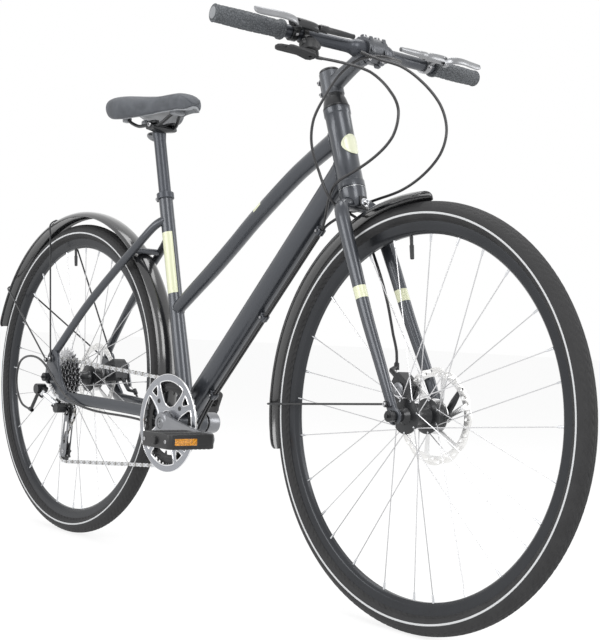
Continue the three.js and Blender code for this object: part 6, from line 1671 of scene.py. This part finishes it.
yokeNut = turned([(2.2, 0), (8.5, 0), (9.2, 1), (9.2, 3), (7.5, 4.4), (2.2, 5)], at(-283, 0, 902), toTop, 28)
addPiece("saddle_clamp", joined(cradle, topClamps, clampAxle, yokeNut), "seat_body", "black")
addPiece("saddle_clamp_yoke", yoke, "seat_body", "grey", slot="black_metal")
addPiece("saddle_clamp_bolt", yokeBolt, "seat_body", "steel")
postBolts = joined(*[bolt(at(clampX, side * 29.6, railZ - 0.5), at(0, side, 0), 5.2, 3.0) for side in sides])
addPiece("saddle_clamp_bolts", postBolts, "seat_body", "steel")

collarProfile = [
    (14.75, 470.2), (17.2, 470.2), (18, 471), (18, 482.4), (17.2, 483.2), (13.0, 483.2), (13.0, 482.2), (14.75, 482.2)
]
collar = turned(collarProfile, bracketAt, seatAlong, 48, True)
seatBack = -seatAhead
boltAt = onSeatTube(476.6) + seatBack * 21
ears = [block((11, 4.6, 11), boltAt - seatBack * 0.5 + toLeft * side * 3.6, axesOf(seatBack, toLeft, seatAlong), 1.8)
        for side in sides]
addPiece("seat_collar", joined(collar, *ears), "frame_body", "post", "seat_clamp", 30, slot="black_metal")
collarBolt = joined(rod(boltAt - toLeft * 8, boltAt + toLeft * 8, 2.6), bolt(boltAt - toLeft * 5.8, -toLeft, 3.8, 3.2))
addPiece("seat_collar_bolt", collarBolt, "frame_body", "steel")
print("seat made")


# Derailleur pulleys and cage

def pulleySolid(centre, phase):
    holes = [circle(2.2, 12, *polar(12.0, phase + k * 60, *centre)) for k in range(6)]
    outline = toothed(centre, chain["pulley"], phase, pulleyShape)
    disk = plate(outline, chain["line"] - 1.0, chain["line"] + 1.0, holes, 0.3)
    hub = disc(*centre, 8, chain["line"] - 4.6, chain["line"] + 4.6, 32, 0.8)
    return joined(disk, hub)


for name in ("guide", "tension"):
    addPiece(
        name + "_pulley_teeth", pulleySolid(chain[name], phases[(chain[name], chain["pulley"])]),
        name + "_pulley_body", "plastic", name + "_pulley"
    )


def cageSolid():
    guide, tension = chain["guide"], chain["tension"]
    pivot, outer = (-502, 282), (-50.1, -48.5)
    spine = math.degrees(math.atan2(tension[1] - guide[1], tension[0] - guide[0]))
    solids = []
    for low, high, foot in ((*outer, 12.5), (-38.1, -36.5, 9)):
        slot = capsule(polar(22, spine + 180, *tension), 4.2, polar(26, spine, *guide), 5.2, 8)
        solids.append(plate(capsule(tension, foot, guide, 9, 14), low, high, [slot], 0.4))
    solids.append(plate(capsule(guide, 9, pivot, 9, 12), *outer, (), 0.4))
    solids.append(disc(*pivot, 4.0, -63.2, outer[1], 24))
    for centre in (guide, tension):
        solids.append(disc(*centre, 3.0, -51.6, -36.5, 20))
    heads = joined(*[bolt(at(x, outer[0], z), -toLeft, 4.2, 1.8) for x, z in (guide, tension)])
    return joined(*solids), heads


cageBody, cageBolts = cageSolid()
addPiece("cage_plates", cageBody, "derailleur_cage_body", "grey", "derailleur_cage")
addPiece("cage_bolts", cageBolts, "derailleur_cage_body", "steel")

# The CAD parts that stay get rounded edges and a finish
kept = {  # look: the nodes that get it, with the bevel's width
    "black": {"rear_axle": 0.8, "front_axle": 0.8, "rear_caliper": 1.4, "front_caliper": 1.4, "front_qr_lever": 1.2,
              "rear_qr_lever": 1.2, "derailleur_mount_knuckle": 0.9, "derailleur_cage_knuckle": 0.9},
    "grey": {"bottom_bracket": 0.8, "rear_caliper_arm": 0.9, "front_caliper_arm": 0.9},
    "steel": {"crank_spindle": 0.5},
    "silver": {"derailleur_link": 0.9},
    "plastic": {"shift_lever": 1.2, "release_lever": 1.2},
}
for name, look, width in [(name, look, width) for look, parts in kept.items() for name, width in parts.items()]:
    node = nodes[name]
    node.data.materials.clear()
    node.data.materials.append(looks[look])
    merge = node.modifiers.new("merge", "WELD")
    merge.merge_threshold = 0.00001
    bevel = node.modifiers.new("edges", "BEVEL")
    bevel.width = width * toMetres
    bevel.segments = 3
    bevel.limit_method = "ANGLE"
    bevel.angle_limit = radians(32)
    bevel.harden_normals = False
    bevel.use_clamp_overlap = True
print("CAD parts dressed")

# The badge is turned flat and then bent round the head tube.
headRadius = 22.3
backFace = [(radius, headRadius) for radius in (0.4, 4, 8, 12, 15, 17.5)]
frontFace = [(radius, 23.8) for radius in (16.2, 14, 11, 8, 4, 0.4)]
edges = [(18.5, 22.9), (18.8, 23.6), (18.2, 24.2), (16.6, 24.3)]
badge = turned(backFace + edges + frontFace, steer(80), steerAhead, 48)
bent = [v + steerAhead * (math.sqrt(max(headRadius ** 2 - v.y ** 2, 0.0)) - headRadius + 0.1) for v in badge[0]]
addPiece("head_badge", (bent, badge[1]), "frame_body", "badge", slot="frame_paint")

calipers = {"front": (152, 49.7, "steering_body"), "rear": (14, 67.2, "frame_body")}  # turn, outer face, body
for name, (turn, outer, body) in calipers.items():
    axle, rotorAt = hubs[name]["axle"], hubs[name]["rotorAt"]
    dial = turned([(0.4, 0), (11.5, 0), (12.4, 0.8), (12.4, 2.4), (11, 3.2), (5, 3.2), (4.2, 1.8), (0.4, 1.8)],
                  around(axle, 82, turn, rotorAt - 15), -toLeft, 28)
    cover = turned(
        [(0.4, 0), (10.5, 0), (11.4, 0.8), (11.4, 2.0), (10, 2.8), (0.4, 2.8)], around(axle, 72, turn - 3, outer),
        toLeft, 28
    )
    addPiece(name + "_caliper_dial", joined(dial, cover), body, "grey")
    spots = [around(axle, 66, turn + side * 15, outer) for side in sides]
    spots += [around(axle, 97, turn + side * 9.5, outer) for side in sides]
    addPiece(name + "_caliper_bolts", joined(*[bolt(spot, toLeft, 3.4, 2.4) for spot in spots]), body, "steel")
